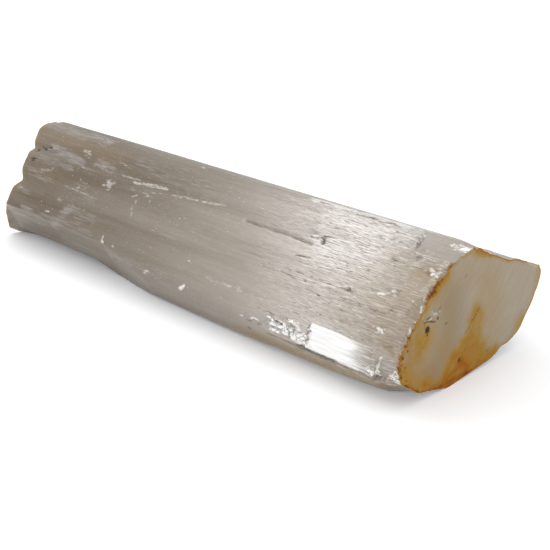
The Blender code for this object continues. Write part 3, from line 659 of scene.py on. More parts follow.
WHITE_STROKE_FOOT = 1.3
WHITE_STROKE_STEEPNESS = 1.6
SAWN_BRUISE_WANDER = 0.5


def white_stroke_cover(off, half_width):
    """1 along the white stroke, falling to 0 at its foot."""
    return np.clip(WHITE_STROKE_STEEPNESS * (1 - off / (WHITE_STROKE_FOOT * half_width)), 0, 1)


white_stroke_edge = grains((4.0, 1.1, 71, 0.5), (2.0, 0.8, 72, 0.35))
whitened_and_lit = np.zeros(len(run))
for path, half_width, white in BRUISES_AND_HIGHLIGHTS:
    off = off_path(path, run, face_girth) + white_stroke_edge * min(1.0, half_width)
    cover = white_stroke_cover(off, np.maximum(half_width, between(THINNEST_WHITE_STROKE, run))) * on_skin
    whitened_and_lit = np.maximum(whitened_and_lit, white * cover * between(WHITE_STROKE_FADE, run))
for path, half_width, white in SAWN_BRUISES:
    off = off_path(path, y, z) + SAWN_BRUISE_WANDER * wander
    whitened_and_lit = np.maximum(whitened_and_lit, white * white_stroke_cover(off, half_width) * near_cap)

# Specks: the worn third is peppered with crushed and dirt-filled dots, and the middle more thinly. Each is
# a short smear along the fibres, white where the spar is crushed and dark where dirt sits in it.
SPECKS = 260
SPECK_RUN = (-20.0, 160.0)
SPECK_CROWDING = (2.2, 1.4)
SPECK_GIRTH = (-8.0, 68.0)
SPECK_LENGTH = (0.5, 1.3)
SPECK_WIDTH = (0.35, 0.55)
SPECK_STRENGTH = (0.2, 0.75)
SPECK_FADE = [(20, 0.3), (110, 1)]
SPECK_FOOT = 1.5
SPECK_ROOM = (4.0, 2.0)
SPECKS_CRUSHED = 0.45
SPECK_DIRT = 0.8
speck_rng = np.random.default_rng(91)
for _ in range(SPECKS):
    speck_run = SPECK_RUN[0] + (SPECK_RUN[1] - SPECK_RUN[0]) * speck_rng.beta(*SPECK_CROWDING)
    speck_girth = speck_rng.uniform(*SPECK_GIRTH)
    half_length = speck_rng.uniform(*SPECK_LENGTH)
    half_width = speck_rng.uniform(*SPECK_WIDTH)
    strength = speck_rng.uniform(*SPECK_STRENGTH) * between(SPECK_FADE, speck_run)
    along, across = run - speck_run, face_girth - speck_girth
    close = (np.abs(along) < SPECK_ROOM[0]) & (np.abs(across) < SPECK_ROOM[1]) & on_skin
    cover = strength * bell(np.hypot(along[close] / half_length, across[close] / half_width), SPECK_FOOT)
    if speck_rng.uniform() < SPECKS_CRUSHED:
        whitened_and_lit[close] = np.maximum(whitened_and_lit[close], cover)
    else:
        darkened[close] = np.maximum(darkened[close], cover * SPECK_DIRT)

# Haze: wide bluish veils under the skin, where fibres parted and let air in. Between them the far half
# is clear, brown as weak tea, and towards the sawn end the spar turns milky, its palest stretch partly a
# painted sheen where the strip light reflects. One table of milkiness goes along the log and one round
# it, the one round it also painted shade, lighter or darker by which way the skin faces; with them go a
# clear zone, a dim facet darkened as painted shade, a low veil and, in the sawn face, a deep place.
VEILS = [
    ([(-136, 22.4), (-118, 24.4), (-98, 26.6)], 3.2, 0.62),
    ([(-138, 31), (-118, 33), (-104, 32)], 2.6, 0.42), ([(-144, 40), (-136, 42), (-126, 41)], 2.6, 0.45),
    ([(-150, 66), (-143, 72), (-120, 72.5), (-98, 70.5)], 2, 0.32), ([(-141, 54), (-128, 56)], 2.2, 0.45),
    ([(-130, 64.8), (-110, 66.2), (-88, 65.6)], 2.2, 0.55), ([(-88, 64), (-60, 64.4)], 2, 0.5),
    ([(-85, 55.5), (-91, 62), (-98, 70)], 4, 0.62), ([(-84, 56.6), (-64, 57.6)], 4.2, 0.4),
    ([(-88, 22), (-72, 24)], 3.6, 0.5), ([(-92, 47), (-70, 46.6)], 2.2, 0.3),
    ([(-135, 43), (-112, 45)], 2.6, 0.4), ([(-160, 3), (-140, 4), (-96, 4.4)], 5.5, 0.55),
    ([(-60, 14), (4, 13)], 6, 0.3), ([(-48, 77), (-36, 74)], 4, 0.45),
    ([(-120, 70.6), (-92, 70.6)], 1.8, 0.3), ([(-24, 72), (2, 73)], 3, 0.3),
    ([(-10, 77), (26, 76)], 3, 0.3), ([(-46, 31), (-30, 30)], 3, 0.25), ([(-40, 22), (24, 22.6)], 2.6, 0.3),
    ([(139, 7), (162, 7)], 5.5, 0.5),
]
VEIL_FOOT = 1.7
VEIL_WANDER = 0.25
MILK_AND_SHEEN = [
    (-162.5, 0.12), (-142, 0.08), (-112, 0.04), (-80, 0.1), (-45, 0.15), (-10, 0.24), (25, 0.36), (57, 0.5),
    (85, 0.74), (112, 0.88), (136, 0.75), (153, 0.58), (162.5, 0.5),
]
FACE_MILK_AND_SHADE = [
    (-20, 0.8), (2, 0.84), (14, 0.8), (28, 0.8), (40, 0.86), (56, 0.93), (70, 0.84), (88, 0.68),
    (GIRTH, 0.7),
]
CLEAR_ZONE = ([(-95, 22), (-45, 21), (-16, 20), (6, 11), (80, 10)], 29, 0.085)
# The dim facet is painted shade: the steep splinter facet's colour darkened against its bright reflection.
PAINTED_FACET_SHADE = ([(-166, 77), (-140, 77), (-110, 76)], 14, 0.16)
LOW_VEIL = ([(-90, 79), (-55, 79), (-20, 79)], 13, 0.04)
DEEP_SPAR = ([(-27, 13), (-18, 30), (-20, 44)], 17, 0.4)
SAWN_MILK = 0.5


def patch(spot, first, second):
    """A soft patch round a path, given as the path, its half width and its strength."""
    path, half_width, strength = spot
    return strength * bell(off_path(path, first, second), half_width)


haze = np.zeros(len(run))
veil_edge = grains((9.0, 2.0, 81, 1.0), (4.0, 1.2, 82, 0.6))
for path, half_width, strength in VEILS:
    off = off_path(path, run, face_girth) + VEIL_WANDER * half_width * veil_edge
    haze = np.maximum(haze, strength * bell(np.maximum(off, 0.0), VEIL_FOOT * half_width) * on_skin)
# Partly painted light: sheen along the log where the strip light reflects, shade round it by facing.
milk_sheen_and_shade = between(MILK_AND_SHEEN, run) * between(FACE_MILK_AND_SHADE, face_girth)
milk_sheen_and_shade -= patch(CLEAR_ZONE, run, face_girth)
milk_sheen_and_shade += patch(LOW_VEIL, run, face_girth)
milk_sheen_and_shade -= patch(PAINTED_FACET_SHADE, run, face_girth)
milk_sheen_and_shade += grains((70.0, 6.0, 83, 0.06), (40.0, 2.2, 84, 0.03), (18.0, 1.1, 85, 0.01 + 0.05 * worn))
milk_sheen_and_shade -= (0.05 + 0.15 * worn) * scarred
milk_sheen_and_shade = np.where(on_skin, milk_sheen_and_shade, SAWN_MILK - patch(DEEP_SPAR, y, z))

# Flecks: the worn third is peppered with short dark dashes where fibres broke, thickest by the crest and
# along rows, each a (girth, from, to, strength). Between them raised fibres shine, and the shine is painted
# as light glints, most in two swaths. The smooth patch on the crest has neither.
FLECKS = [(-8, 0.9), (22, 0.9), (30, 0.6), (62, 0.45), (72, 0.7), (84, 0.8), (92, 0.5), (GIRTH, 0.9)]
DASH_ROWS = [
    (4, 98, 135, 0.9), (5.8, 100, 120, 0.8), (8.4, 94, 112, 0.9), (11.8, 112, 134, 0.8),
    (15.2, 82, 112, 0.9), (16.9, 116, 140, 0.6), (19.2, 92, 116, 0.9), (21.4, 70, 90, 0.6),
    (22.6, 132, 152, 0.9), (24.9, 88, 108, 0.6), (29, 118, 142, 0.5), (31.7, 98, 116, 0.8),
    (35.9, 108, 140, 0.7), (40, 128, 141, 0.8), (44.4, 80, 130, 0.8), (47.2, 64, 104, 0.7),
    (48.3, 110, 150, 0.9), (50.9, 100, 114, 0.8), (53.8, 104, 138, 0.5), (59, 92, 120, 0.5),
    (62.9, 56, 108, 0.4), (67.4, 74, 106, 0.8), (69, 84, 104, 0.6), (83.4, 96, 150, 0.8),
    (85.8, 84, 144, 0.7), (88.4, 100, 150, 0.7),
]
FIBRE_GLINT_SWATHS = [
    ([(86, 8), (126, 7)], 9, 1), ([(93, 29), (106, 27), (124, 21)], 8, 1), ([(66, -2), (134, -3)], 5, 1),
    ([(96, 34), (128, 31)], 6, 0.5),
]
FLECKED_EVERYWHERE = 0.36
FLECKS_BY_SAW = [(153.5, 1), (161.9, 0.3)]
ROW_ENDS = 3.0
ROW_WANDER = 0.2
ROW_HALF_WIDTH = 1.1
GLINT_SWATH_FOOT = 1.5
SMOOTH_PATCH_MILK = 0.44
worn[smooth_patch] = 0.0
flecked = FLECKED_EVERYWHERE * worn * between(FLECKS, face_girth) * between(FLECKS_BY_SAW, run) * on_skin
for row_girth, row_from, row_to, strength in DASH_ROWS:
    ends = np.clip(np.minimum(run - row_from, row_to - run) / ROW_ENDS, 0, 1)
    dashes = bell(around(row_girth) + ROW_WANDER * ragged_girth, ROW_HALF_WIDTH) * on_skin
    flecked = np.maximum(flecked, strength * ends * dashes)
fibre_glints = np.zeros(len(run))
for path, half_width, strength in FIBRE_GLINT_SWATHS:
    fibre_glints = np.maximum(fibre_glints, patch((path, GLINT_SWATH_FOOT * half_width, strength), run, face_girth) * on_skin)
milk_sheen_and_shade[smooth_patch] = SMOOTH_PATCH_MILK
flecked[smooth_patch] = 0.0
fibre_glints[smooth_patch] = 0.0

# Tea: the spar is stained brown, thinly, in the corner under the cut, along the foot, in a few amber
# spots, and round the weathered far rim. The left of the sawn face is tanned all over.
CORNER_TEA = [(116, 0), (150, 0.42)]
CORNER_GIRTH = 42.0
CORNER_REACH = 43.0
FOOT_TEA = [(40, 0), (70, 0.7)]
FOOT_GIRTH = 88.0
FOOT_REACH = 10.0
AMBER = [
    ([(152, 60), (158, 63)], 3.5, 0.6), ([(152, 26.5), (166, 26.5)], 11, 0.8),
    ([(-150, 13), (-75, 15)], 11, 0.24), ([(-134, 41), (-110, 41)], 8, 0.16),
]
TAN_WASH = ([(-49, 41), (-51, 16), (-36, 7)], 16, 0.84)
FAR_TEA = [(0, 0.75), (20, 0.7), (40, 0.45), (52, 0.7), (66, 0.4), (78, 0.3), (95, 0.5), (GIRTH, 0.55)]
FAR_TEA_REACH = [(0, 6), (30, 6), (50, 4), (66, 4), (80, 5), (95, 9), (GIRTH, 6)]
FAR_TEA_FADE = 1.4
FAR_TEA_THINNING = 1.3
FAR_FACE_TEA = 0.5
tea = between(CORNER_TEA, run) * bell(face_girth - CORNER_GIRTH, CORNER_REACH)
tea = np.maximum(tea, between(FOOT_TEA, run) * bell(face_girth - FOOT_GIRTH, FOOT_REACH))
# Rounding puts from_far a hair below 0 at some points of the rim itself, and those get no tea.
far_tea = np.exp(-FAR_TEA_THINNING * (from_far / between(FAR_TEA_REACH, girth)) ** FAR_TEA_FADE)
tea = np.maximum(tea, between(FAR_TEA, girth) * far_tea * (0.9 + grains((4.0, 1.8, 88, 0.5))))
amber_grain = 0.9 + grains((30.0, 3.0, 89, 0.3))
for spot in AMBER:
    tea = np.maximum(tea, patch(spot, run, face_girth) * amber_grain)
tea[far_cap] = FAR_FACE_TEA
tan_blotches = 0.9 + blotches(y, z, 2.2, 90, 0.3) + blotches(y, z, 0.9, 91, 0.25)
tea = np.where(on_sawn, patch(TAN_WASH, y, z) * tan_blotches, tea)

# Rust: iron from the ground has soaked into the sawn face from below, yellow at its edges and orange
# deeper in, in a tongue and a pool. Stains have a path, a half width, how soft the border is, and how
# deep the colour, and RIM_STAIN a strength and a reach at each girth. Overlapping stains run together.
STAINS = [
    ([(0.5, 34.5), (0.5, 30)], 3.6, 2.6, 0.34), ([(1, 28), (0, 20)], 8, 3.6, 0.33),
    ([(-5, 14), (4, 8)], 11, 6, 0.46), ([(-38, 31), (-41, 26)], 8, 7, 0.36),
    ([(-47, 15), (-32, 6)], 6, 6, 0.26), ([(-24, 4), (-15, 14)], 3.6, 3.4, 0.6),
    ([(-19, 5), (-9, 8.5)], 3.6, 3, 0.68), ([(-34, 51), (-25, 56.5)], 4.5, 5, 0.38),
    ([(-46, 41), (-38, 47)], 3, 4, 0.4), ([(-1, 64), (5, 62.5)], 3.5, 4, 0.48),
    ([(38, 13), (42, 15.5)], 3, 4, 0.34), ([(52.5, 29), (54.5, 36)], 2.5, 3, 0.24),
    ([(6, 4), (20, 5.5)], 3.4, 3.6, 0.56), ([(-15, 15), (-9, 13.5)], 3.4, 3.6, 0.66),
    ([(-10, 11), (-3, 5.5)], 4.6, 4.6, 0.8), ([(-33, 3), (-12, 2.5), (2, 2)], 2.8, 3.4, 0.94),
    ([(-38, 9.5), (-33, 7)], 2.4, 3.4, 0.74), ([(-38, 37), (-36, 31)], 1.6, 3, 0.58),
    ([(-52, 22), (-48, 13)], 2.6, 3.4, 0.6), ([(-22, 46), (-22, 18)], 9, 10, 0.12),
    ([(-44, 34), (-41, 28)], 3, 4, 0.5), ([(8, 44), (12, 22)], 12, 10, 0.12),
    ([(-26, 26), (-22, 14)], 5, 7, 0.2), ([(-36, 52), (-31, 55)], 2.2, 2.6, 0.72),
    ([(-10, 58), (-4, 50)], 8, 10, 0.1),
]
RIM_STAIN = [
    (0, 0.3, 1.6), (12, 0.25, 1.6), (18, 0.5, 2.2), (26, 0.74, 2.8), (32, 0.84, 3), (36, 0.46, 2.2),
    (50, 0.4, 2.4), (64, 0.44, 2.6), (76, 0.52, 3), (90, 0.56, 3), (110, 0.75, 3), (135, 0.75, 2.6),
    (152, 0.6, 2.6), (165, 0.3, 1.8), (185, 0.4, 2.4), (210, 0.35, 1.8), (222, 0.44, 1.2), (250, 0.44, 1.1),
    (262, 0.48, 1.3), (278, 0.62, 2.6), (GIRTH, 0.3, 1.6),
]
STAIN_BORDER = 1.3
RUN_TOGETHER = 4
RIM_STAIN_WANDER = 0.6


def fading(distance, reach, power):
    """1 at no distance, fading out past the reach."""
    return np.exp(-(np.maximum(distance, 0.0) / reach) ** power)


stain = np.zeros(len(run))
stain_edge = blotches(y, z, 5.0, 67, 0.12) + blotches(y, z, 2.2, 68, 0.084)
for path, half_width, soft, strength in STAINS:
    off = off_path(path, y, z) + half_width * stain_edge
    cover = np.clip((half_width - off) / (2 * soft) + 0.5, 0, 1) ** STAIN_BORDER
    stain += (strength * cover) ** RUN_TOGETHER
rim_girths, rim_strengths, rim_reaches = zip(*RIM_STAIN)
rim_reach = np.interp(girth, rim_girths, rim_reaches)
rim_cover = fading(from_rim + RIM_STAIN_WANDER * wander, rim_reach, STAIN_BORDER)
stain += (np.interp(girth, rim_girths, rim_strengths) * rim_cover) ** RUN_TOGETHER
stain_blotches = 0.94 + blotches(y, z, 2.6, 66, 0.16) + blotches(y, z, 0.9, 69, 0.10)
stain = np.where(on_sawn, stain ** (1 / RUN_TOGETHER) * stain_blotches, 0.0)

# Crust: along the sawn rim, on both its sides, and round the far rim the rust stands as a crust of dark
# spots. Single spots (y, z, half width) lie by the left of the sawn rim.
CRUST = [
    (0, 0.1), (11, 0.2), (14, 0.45), (17.6, 0.85), (19.5, 0.35), (23, 0.35), (26, 0.9), (30, 1), (34, 0.9),
    (36.5, 0.42), (40, 0.15), (45, 0.3), (50, 0.38), (53.4, 0.34), (54.8, 0.8), (56.2, 0.34), (57.6, 0.42),
    (58.8, 0.78), (60.2, 0.36), (62.8, 0.42), (63.9, 0.8), (65.4, 0.42), (68.4, 0.52), (69.7, 0.9),
    (71.2, 0.5), (76, 0.42), (90, 0.45), (110, 0.5), (150, 0.42), (170, 0.2), (185, 0.4), (210, 0.3),
    (225, 0.5), (255, 0.55), (268, 0.4), (277, 0.75), (281, 0.3), (GIRTH, 0.1),
]
CRUST_ON_SKIN = [(0, 0.8), (14, 1.2), (22, 1), (26, 1.3), (34, 1.3), (38, 1.2), (60, 1.4), (GIRTH, 1)]
CRUST_ON_FACE = [
    (0, 0.5), (25, 1), (28, 1.8), (34, 1.8), (38, 1), (52, 1.6), (60, 2), (72, 2.2), (80, 1.5), (110, 1.6),
    (140, 1.4), (165, 0.8), (GIRTH, 0.5),
]
FAR_CRUST = [
    (0, 0.2), (16, 0.36), (40, 0.3), (50, 0.5), (60, 0.62), (78, 0.72), (92, 0.75), (110, 0.3), (GIRTH, 0),
]
RUST_SPOTS = [
    (-29.8, 55.2, 1.2), (-33.2, 53.6, 1.3), (-36.4, 51.2, 1.4), (-49.6, 36.6, 0.9), (-52, 33, 1.2),
    (-53, 27.6, 1.2), (-49.8, 29.6, 0.8), (-55.2, 22, 1.5), (-51.4, 22.6, 0.9), (-54.2, 18.4, 1.5),
    (-50.4, 15.4, 0.9), (-46.6, 13.4, 0.9), (-43.4, 12, 0.7), (-36.6, 33, 0.7), (-38.6, 27.6, 0.6),
]
CRUST_FADE = 1.5
FAR_CRUST_REACH = 1.4
FAR_CRUST_FADE = 2.0
SPOT_STRENGTH = 0.72
SPOT_FOOT = 1.6
SPOT_WANDER = 0.3
crust_on_face = fading(from_rim, between(CRUST_ON_FACE, girth), CRUST_FADE)
crust_on_skin = fading(from_saw, between(CRUST_ON_SKIN, girth), CRUST_FADE)
crust = between(CRUST, girth) * np.where(on_sawn, crust_on_face, crust_on_skin)
far_crust = between(FAR_CRUST, girth) * fading(from_far, FAR_CRUST_REACH, FAR_CRUST_FADE) * on_skin
crust = np.maximum(crust, far_crust)
for spot_y, spot_z, half in RUST_SPOTS:
    off = np.hypot(y - spot_y, z - spot_z) + SPOT_WANDER * wander
    crust = np.maximum(crust, SPOT_STRENGTH * bell(off, SPOT_FOOT * half) * on_sawn)
crust[far_cap] = 0.0

# The paint: each of these is kept as one value per point on the mesh, for the material to read where it
# needs it.
PAINTED = {"milk_sheen_and_shade": milk_sheen_and_shade, "haze": haze, "bruise_and_highlight": whitened_and_lit, "darkness": darkened, "stain": stain, "crust": crust,
           "tea": tea, "sawn": on_sawn, "mirror_reflection": mirror_reflection, "shatter": shatter, "worn": worn * on_skin,
           "flecked": flecked, "fibre_glints": fibre_glints}
MOST_PAINT = 1.2
for name, values in PAINTED.items():
    attribute = log_mesh.attributes.new(name, 'FLOAT', 'POINT')
    attribute.data.foreach_set("value", np.clip(values, 0, MOST_PAINT).astype(np.float32))

# Round the log by u, along it by v: the skin's lustre is drawn out across the fibres. The two ends, which
# have no way round them, take their (y, z) places.
corner_point = np.empty(len(log_mesh.loops), dtype=np.int32)
log_mesh.loops.foreach_get("vertex_index", corner_point)
face_size = np.empty(len(log_mesh.polygons), dtype=np.int32)
log_mesh.polygons.foreach_get("loop_total", face_size)
face_start = np.concatenate([[0], np.cumsum(face_size)[:-1]])
corner_girth = girth[corner_point]
spread = np.maximum.reduceat(corner_girth, face_start) - np.minimum.reduceat(corner_girth, face_start)
over_seam = np.repeat(spread > GIRTH / 2, face_size)
corner_girth = np.where(over_seam & (corner_girth < GIRTH / 2), corner_girth + GIRTH, corner_girth)
on_end = np.repeat(np.maximum.reduceat(inside_cap[corner_point].astype(int), face_start) > 0, face_size)
corner_u = np.where(on_end, y[corner_point], corner_girth)
corner_v = np.where(on_end, z[corner_point], run[corner_point])
uv_layer = log_mesh.uv_layers.new(name="round_and_along")
uv_layer.uv.foreach_set("vector", (np.column_stack([corner_u, corner_v]) * MM).astype(np.float32).ravel())

# Satin spar, as a material: glassy brown to milky grey, streaked along the fibres, with bluish veils,
# dust, light and dark flecks, and the thin tea-brown stain over them. The milky grey carries painted
# sheen and shade, and the light flecks are painted glints.
CLEAR_SPAR = (0.108, 0.076, 0.040)
MILKY_SPAR_AND_SHEEN = (0.590, 0.538, 0.488)
VEIL = (0.270, 0.248, 0.230)
FLECK_AND_GLINT_WHITE = (0.880, 0.860, 0.840)
DARK_FLECK = (0.170, 0.140, 0.112)
TEA = (0.240, 0.155, 0.055)
spar = bpy.data.materials.new("satin_spar")
spar.use_nodes = True
tree = spar.node_tree
shader = tree.nodes["Principled BSDF"]
object_coords = tree.nodes.new("ShaderNodeTexCoord").outputs["Object"]


def wire(sockets, values):
    """Link each socket to its value, or set the value on it where that is a number or a colour."""
    for socket, value in zip(sockets, values):
        if isinstance(value, bpy.types.NodeSocket):
            tree.links.new(value, socket)
        else:
            socket.default_value = (*value, 1.0) if isinstance(value, tuple) else value


def read(name):
    """The painted layer of this name."""
    node = tree.nodes.new("ShaderNodeAttribute")
    node.attribute_name = name
    return node.outputs["Fac"]


def math_node(operation, first, second=0.0, third=0.0, clamp=False):
    """One sum, on numbers or on the outputs of other nodes."""
    node = tree.nodes.new("ShaderNodeMath")
    node.operation = operation
    node.use_clamp = clamp
    wire(node.inputs, (first, second, third))
    return node.outputs[0]


def lay_over(under, amount, over, strength=1.0):
    """The colour under with this amount of the colour over it, times the strength."""
    if strength < 1.0:
        amount = math_node('MULTIPLY', amount, strength)
    node = tree.nodes.new("ShaderNodeMix")
    node.data_type = 'RGBA'
    node.clamp_factor = True
    wire((node.inputs[0], node.inputs[6], node.inputs[7]), (amount, under, over))
    return node.outputs[2]


def mapped(scale, turn=(0.0, 0.0, 0.0), kind='POINT'):
    """Places on the log, scaled and turned for a pattern to read."""
    mapping = tree.nodes.new("ShaderNodeMapping")
    mapping.vector_type = kind
    mapping.inputs["Rotation"].default_value = turn
    mapping.inputs["Scale"].default_value = scale
    tree.links.new(object_coords, mapping.inputs["Vector"])
    return mapping.outputs["Vector"]


def noise_over(places, detail):
    """Smooth noise, 0 to 1, over the mapped places."""
    noise = tree.nodes.new("ShaderNodeTexNoise")
    noise.inputs["Scale"].default_value = 1.0
    noise.inputs["Detail"].default_value = detail
    tree.links.new(places, noise.inputs["Vector"])
    return noise.outputs["Fac"]


def fibre_noise(length, width, detail=2.0):
    """Noise drawn out along the fibres, in streaks of this length and width in millimetres."""
    return noise_over(mapped((1 / (length * MM), 1 / (width * MM), 1 / (width * MM))), detail)


def ripple(noise, amount, base, clamp=False):
    """The base, raised and lowered by the noise about its middle."""
    return math_node('MULTIPLY_ADD', math_node('SUBTRACT', noise, 0.5), amount, base, clamp=clamp)


def contrast(noise, low, high):
    """The noise stretched so that low becomes 0 and high becomes 1."""
    return math_node('MULTIPLY_ADD', noise, 1 / (high - low), -low / (high - low), clamp=True)


def within(amount, layer, rise):
    """The amount, held to where the layer is painted; the rise says how soon it counts in full."""
    return math_node('MULTIPLY', amount, math_node('MULTIPLY', layer, rise, clamp=True))


layer = {name: read(name) for name in PAINTED}
strands = fibre_noise(14.0, 0.60)
threads = fibre_noise(5.0, 0.32, detail=1.0)
bands = fibre_noise(60.0, 3.2)
ragged = fibre_noise(2.4, 0.7, detail=3.0)
clouds = fibre_noise(3.6, 3.0, detail=4.0)
grit = fibre_noise(1.1, 1.0, detail=3.0)
streaks = ripple(threads, 0.7, math_node('SUBTRACT', strands, 0.5))
streaks = math_node('MULTIPLY', streaks, math_node('MULTIPLY_ADD', layer["worn"], 0.45, 0.12))
# Milkiness here carries the painted sheen and shade as well as the spar's own milk.
milkiness_sheen_and_shade = ripple(bands, 0.10, math_node('ADD', layer["milk_sheen_and_shade"], streaks), clamp=True)
colour = lay_over(CLEAR_SPAR, milkiness_sheen_and_shade, MILKY_SPAR_AND_SHEEN)
haze_amount = ripple(fibre_noise(10.0, 1.2, detail=4.0), 1.8, layer["haze"])
colour = lay_over(colour, within(contrast(haze_amount, 0.22, 0.90), layer["haze"], 5.0), VEIL)
dust = contrast(fibre_noise(1.3, 0.8, detail=1.0), 0.62, 0.74)
colour = lay_over(colour, dust, FLECK_AND_GLINT_WHITE, 0.09)
# Light flecks: painted glints of raised fibres in the worn third, thickest in the glint swaths.
light_flecks_and_glints = math_node('MULTIPLY_ADD', layer["fibre_glints"], 0.12, fibre_noise(6.0, 0.42, detail=2.5))
light_flecks_and_glints = math_node('MULTIPLY', contrast(light_flecks_and_glints, 0.56, 0.66), layer["worn"])
colour = lay_over(colour, light_flecks_and_glints, FLECK_AND_GLINT_WHITE, 0.50)
dark_flecks = math_node('MULTIPLY_ADD', layer["flecked"], 0.17, fibre_noise(4.2, 0.50))
dark_flecks = within(contrast(dark_flecks, 0.62, 0.69), layer["flecked"], 4.0)
colour = lay_over(colour, dark_flecks, DARK_FLECK, 0.84)
colour = lay_over(colour, layer["tea"], TEA)

# The sawn face is duller and browner, scored by the saw in faint slanting streaks, darker where the
# spar is clear to a depth, and tanned at its left.
SAWN_SPAR = (0.325, 0.268, 0.198)
SAWN_STREAK = (0.362, 0.308, 0.240)
SAWN_DEEP = (0.252, 0.208, 0.148)
TAN = (0.278, 0.153, 0.064)
SAW_STREAK_TILT = 52.0
SAW_STREAK_LONG = 14.0
SAW_STREAK_WIDE = 1.1
saw_places = mapped((1.0, SAW_STREAK_LONG * MM, SAW_STREAK_WIDE * MM),
                    (math.radians(SAW_STREAK_TILT), 0.0, 0.0), 'TEXTURE')
saw_streaks = noise_over(saw_places, 3.0)
sawn_colour = lay_over(SAWN_SPAR, contrast(saw_streaks, 0.35, 0.65), SAWN_STREAK)
sawn_colour = lay_over(SAWN_DEEP, math_node('MULTIPLY', layer["milk_sheen_and_shade"], 2.0, clamp=True), sawn_colour)
sawn_colour = lay_over(sawn_colour, layer["tea"], TAN)
colour = lay_over(colour, layer["sawn"], sawn_colour)

# Bruises whiten the fibres, and two of their strokes on the crest are painted light; shattered spar shows
# as white shards with brown gaps between them. The mirror window is partly pearly and partly a painted
# reflection of near-white, streaked with its own fibres.
CRUSHED_AND_LIT_WHITE = (0.78, 0.755, 0.725)
SHARD = (0.97, 0.96, 0.94)
SHARD_GAP = (0.170, 0.110, 0.075)
REFLECTION_WHITE = (0.970, 0.965, 0.955)
REFLECTION_STREAK = (0.840, 0.820, 0.800)
SHARD_LONG = 3.8
SHARD_WIDE = 2.3
SHARD_TURN = (0.0, 0.25, 0.20)
bruise_and_highlight_amount = math_node('MULTIPLY_ADD', layer["bruise_and_highlight"], 2.6, ripple(ragged, 3.0, -0.55), clamp=True)
bruise_and_highlight_amount = within(bruise_and_highlight_amount, layer["bruise_and_highlight"], 1.15)
colour = lay_over(colour, bruise_and_highlight_amount, CRUSHED_AND_LIT_WHITE)
shards, gaps = (tree.nodes.new("ShaderNodeTexVoronoi") for _ in range(2))
gaps.feature = 'DISTANCE_TO_EDGE'
shard_places = mapped((1 / (SHARD_LONG * MM), 1 / (SHARD_WIDE * MM), 1 / (SHARD_WIDE * MM)), SHARD_TURN)
for cells in (shards, gaps):
    cells.inputs["Scale"].default_value = 1.0
    tree.links.new(shard_places, cells.inputs["Vector"])
shard_pick = tree.nodes.new("ShaderNodeSeparateColor")
tree.links.new(shards.outputs["Color"], shard_pick.inputs["Color"])
shattered = contrast(ripple(ragged, 1.1, layer["shatter"]), 0.20, 0.38)
white_shards = math_node('MULTIPLY', contrast(shard_pick.outputs["Red"], 0.06, 0.30), shattered)
colour = lay_over(colour, white_shards, SHARD, 0.92)
shard_gaps = math_node('SUBTRACT', 1.0, contrast(gaps.outputs["Distance"], 0.02, 0.10))
shard_gaps = math_node('MULTIPLY', shard_gaps, shattered)
colour = lay_over(colour, shard_gaps, SHARD_GAP, 0.70)
# The mirror window: partly pearly, partly a painted reflection of near-white, streaked along the fibres.
mirror_reflection_amount = contrast(ripple(strands, 1.1, layer["mirror_reflection"]), 0.05, 0.80)
mirror_reflection_amount = within(mirror_reflection_amount, layer["mirror_reflection"], 8.0)
colour = lay_over(colour, mirror_reflection_amount, lay_over(REFLECTION_STREAK, contrast(strands, 0.36, 0.56), REFLECTION_WHITE))

# Rust goes from yellow through orange to brown as it deepens, its crust from orange to dark brown, and
# over everything the cracks and pits are darkened.
YELLOW_STAIN = (0.315, 0.185, 0.032)
ORANGE_STAIN = (0.330, 0.112, 0.001)
BROWN_STAIN = (0.130, 0.028, 0.001)
CRUST_ORANGE = (0.270, 0.100, 0.010)
CRUST_BROWN = (0.080, 0.034, 0.008)
DARKENING_BROWN = (0.050, 0.034, 0.020)
stain_depth = ripple(grit, 0.42, ripple(saw_streaks, 0.60, ripple(clouds, 0.40, 1.0)))
stain_depth = math_node('MULTIPLY', layer["stain"], stain_depth)
for step, stain_colour in enumerate((YELLOW_STAIN, ORANGE_STAIN, BROWN_STAIN)):
    colour = lay_over(colour, math_node('MULTIPLY_ADD', stain_depth, 3.0, -step, clamp=True), stain_colour)
crust_amount = within(ripple(grit, 1.7, layer["crust"]), layer["crust"], 6.0)
crust_cover = contrast(crust_amount, 0.28, 0.50)
colour = lay_over(colour, crust_cover, CRUST_ORANGE)
colour = lay_over(colour, contrast(crust_amount, 0.60, 0.85), CRUST_BROWN)
darkening_breaks = math_node('MULTIPLY_ADD', contrast(ragged, 0.35, 0.6), 0.9, 0.45)
darkening_amount = contrast(math_node('MULTIPLY', layer["darkness"], darkening_breaks, clamp=True), 0.12, 0.85)
colour = lay_over(colour, darkening_amount, DARKENING_BROWN)
tree.links.new(colour, shader.inputs["Base Color"])

# The satin lustre: a gloss drawn out across the fibres, duller on bruises and on the painted highlight
# strokes, crust and the sawn face and keen in the mirror window, with a little light let in under the skin.
FINISH = {"IOR": 1.52, "Specular IOR Level": 0.5, "Anisotropic": 0.75, "Subsurface Weight": 0.25,
          "Subsurface Radius": (1.0, 0.8, 0.55), "Subsurface Scale": 0.0025}
matt = ripple(strands, 0.20, math_node('MULTIPLY_ADD', bruise_and_highlight_amount, 0.25, 0.34))
matt = math_node('MULTIPLY_ADD', crust_cover, 0.35, matt)
matt = math_node('MULTIPLY_ADD', layer["sawn"], 0.18, matt)
matt = math_node('MULTIPLY_ADD', mirror_reflection_amount, -0.22, matt, clamp=True)
tree.links.new(matt, shader.inputs["Roughness"])
for socket, value in FINISH.items():
    shader.inputs[socket].default_value = value
tangent = tree.nodes.new("ShaderNodeTangent")
tangent.direction_type = 'UV_MAP'
tangent.uv_map = "round_and_along"
tree.links.new(tangent.outputs["Tangent"], shader.inputs["Tangent"])

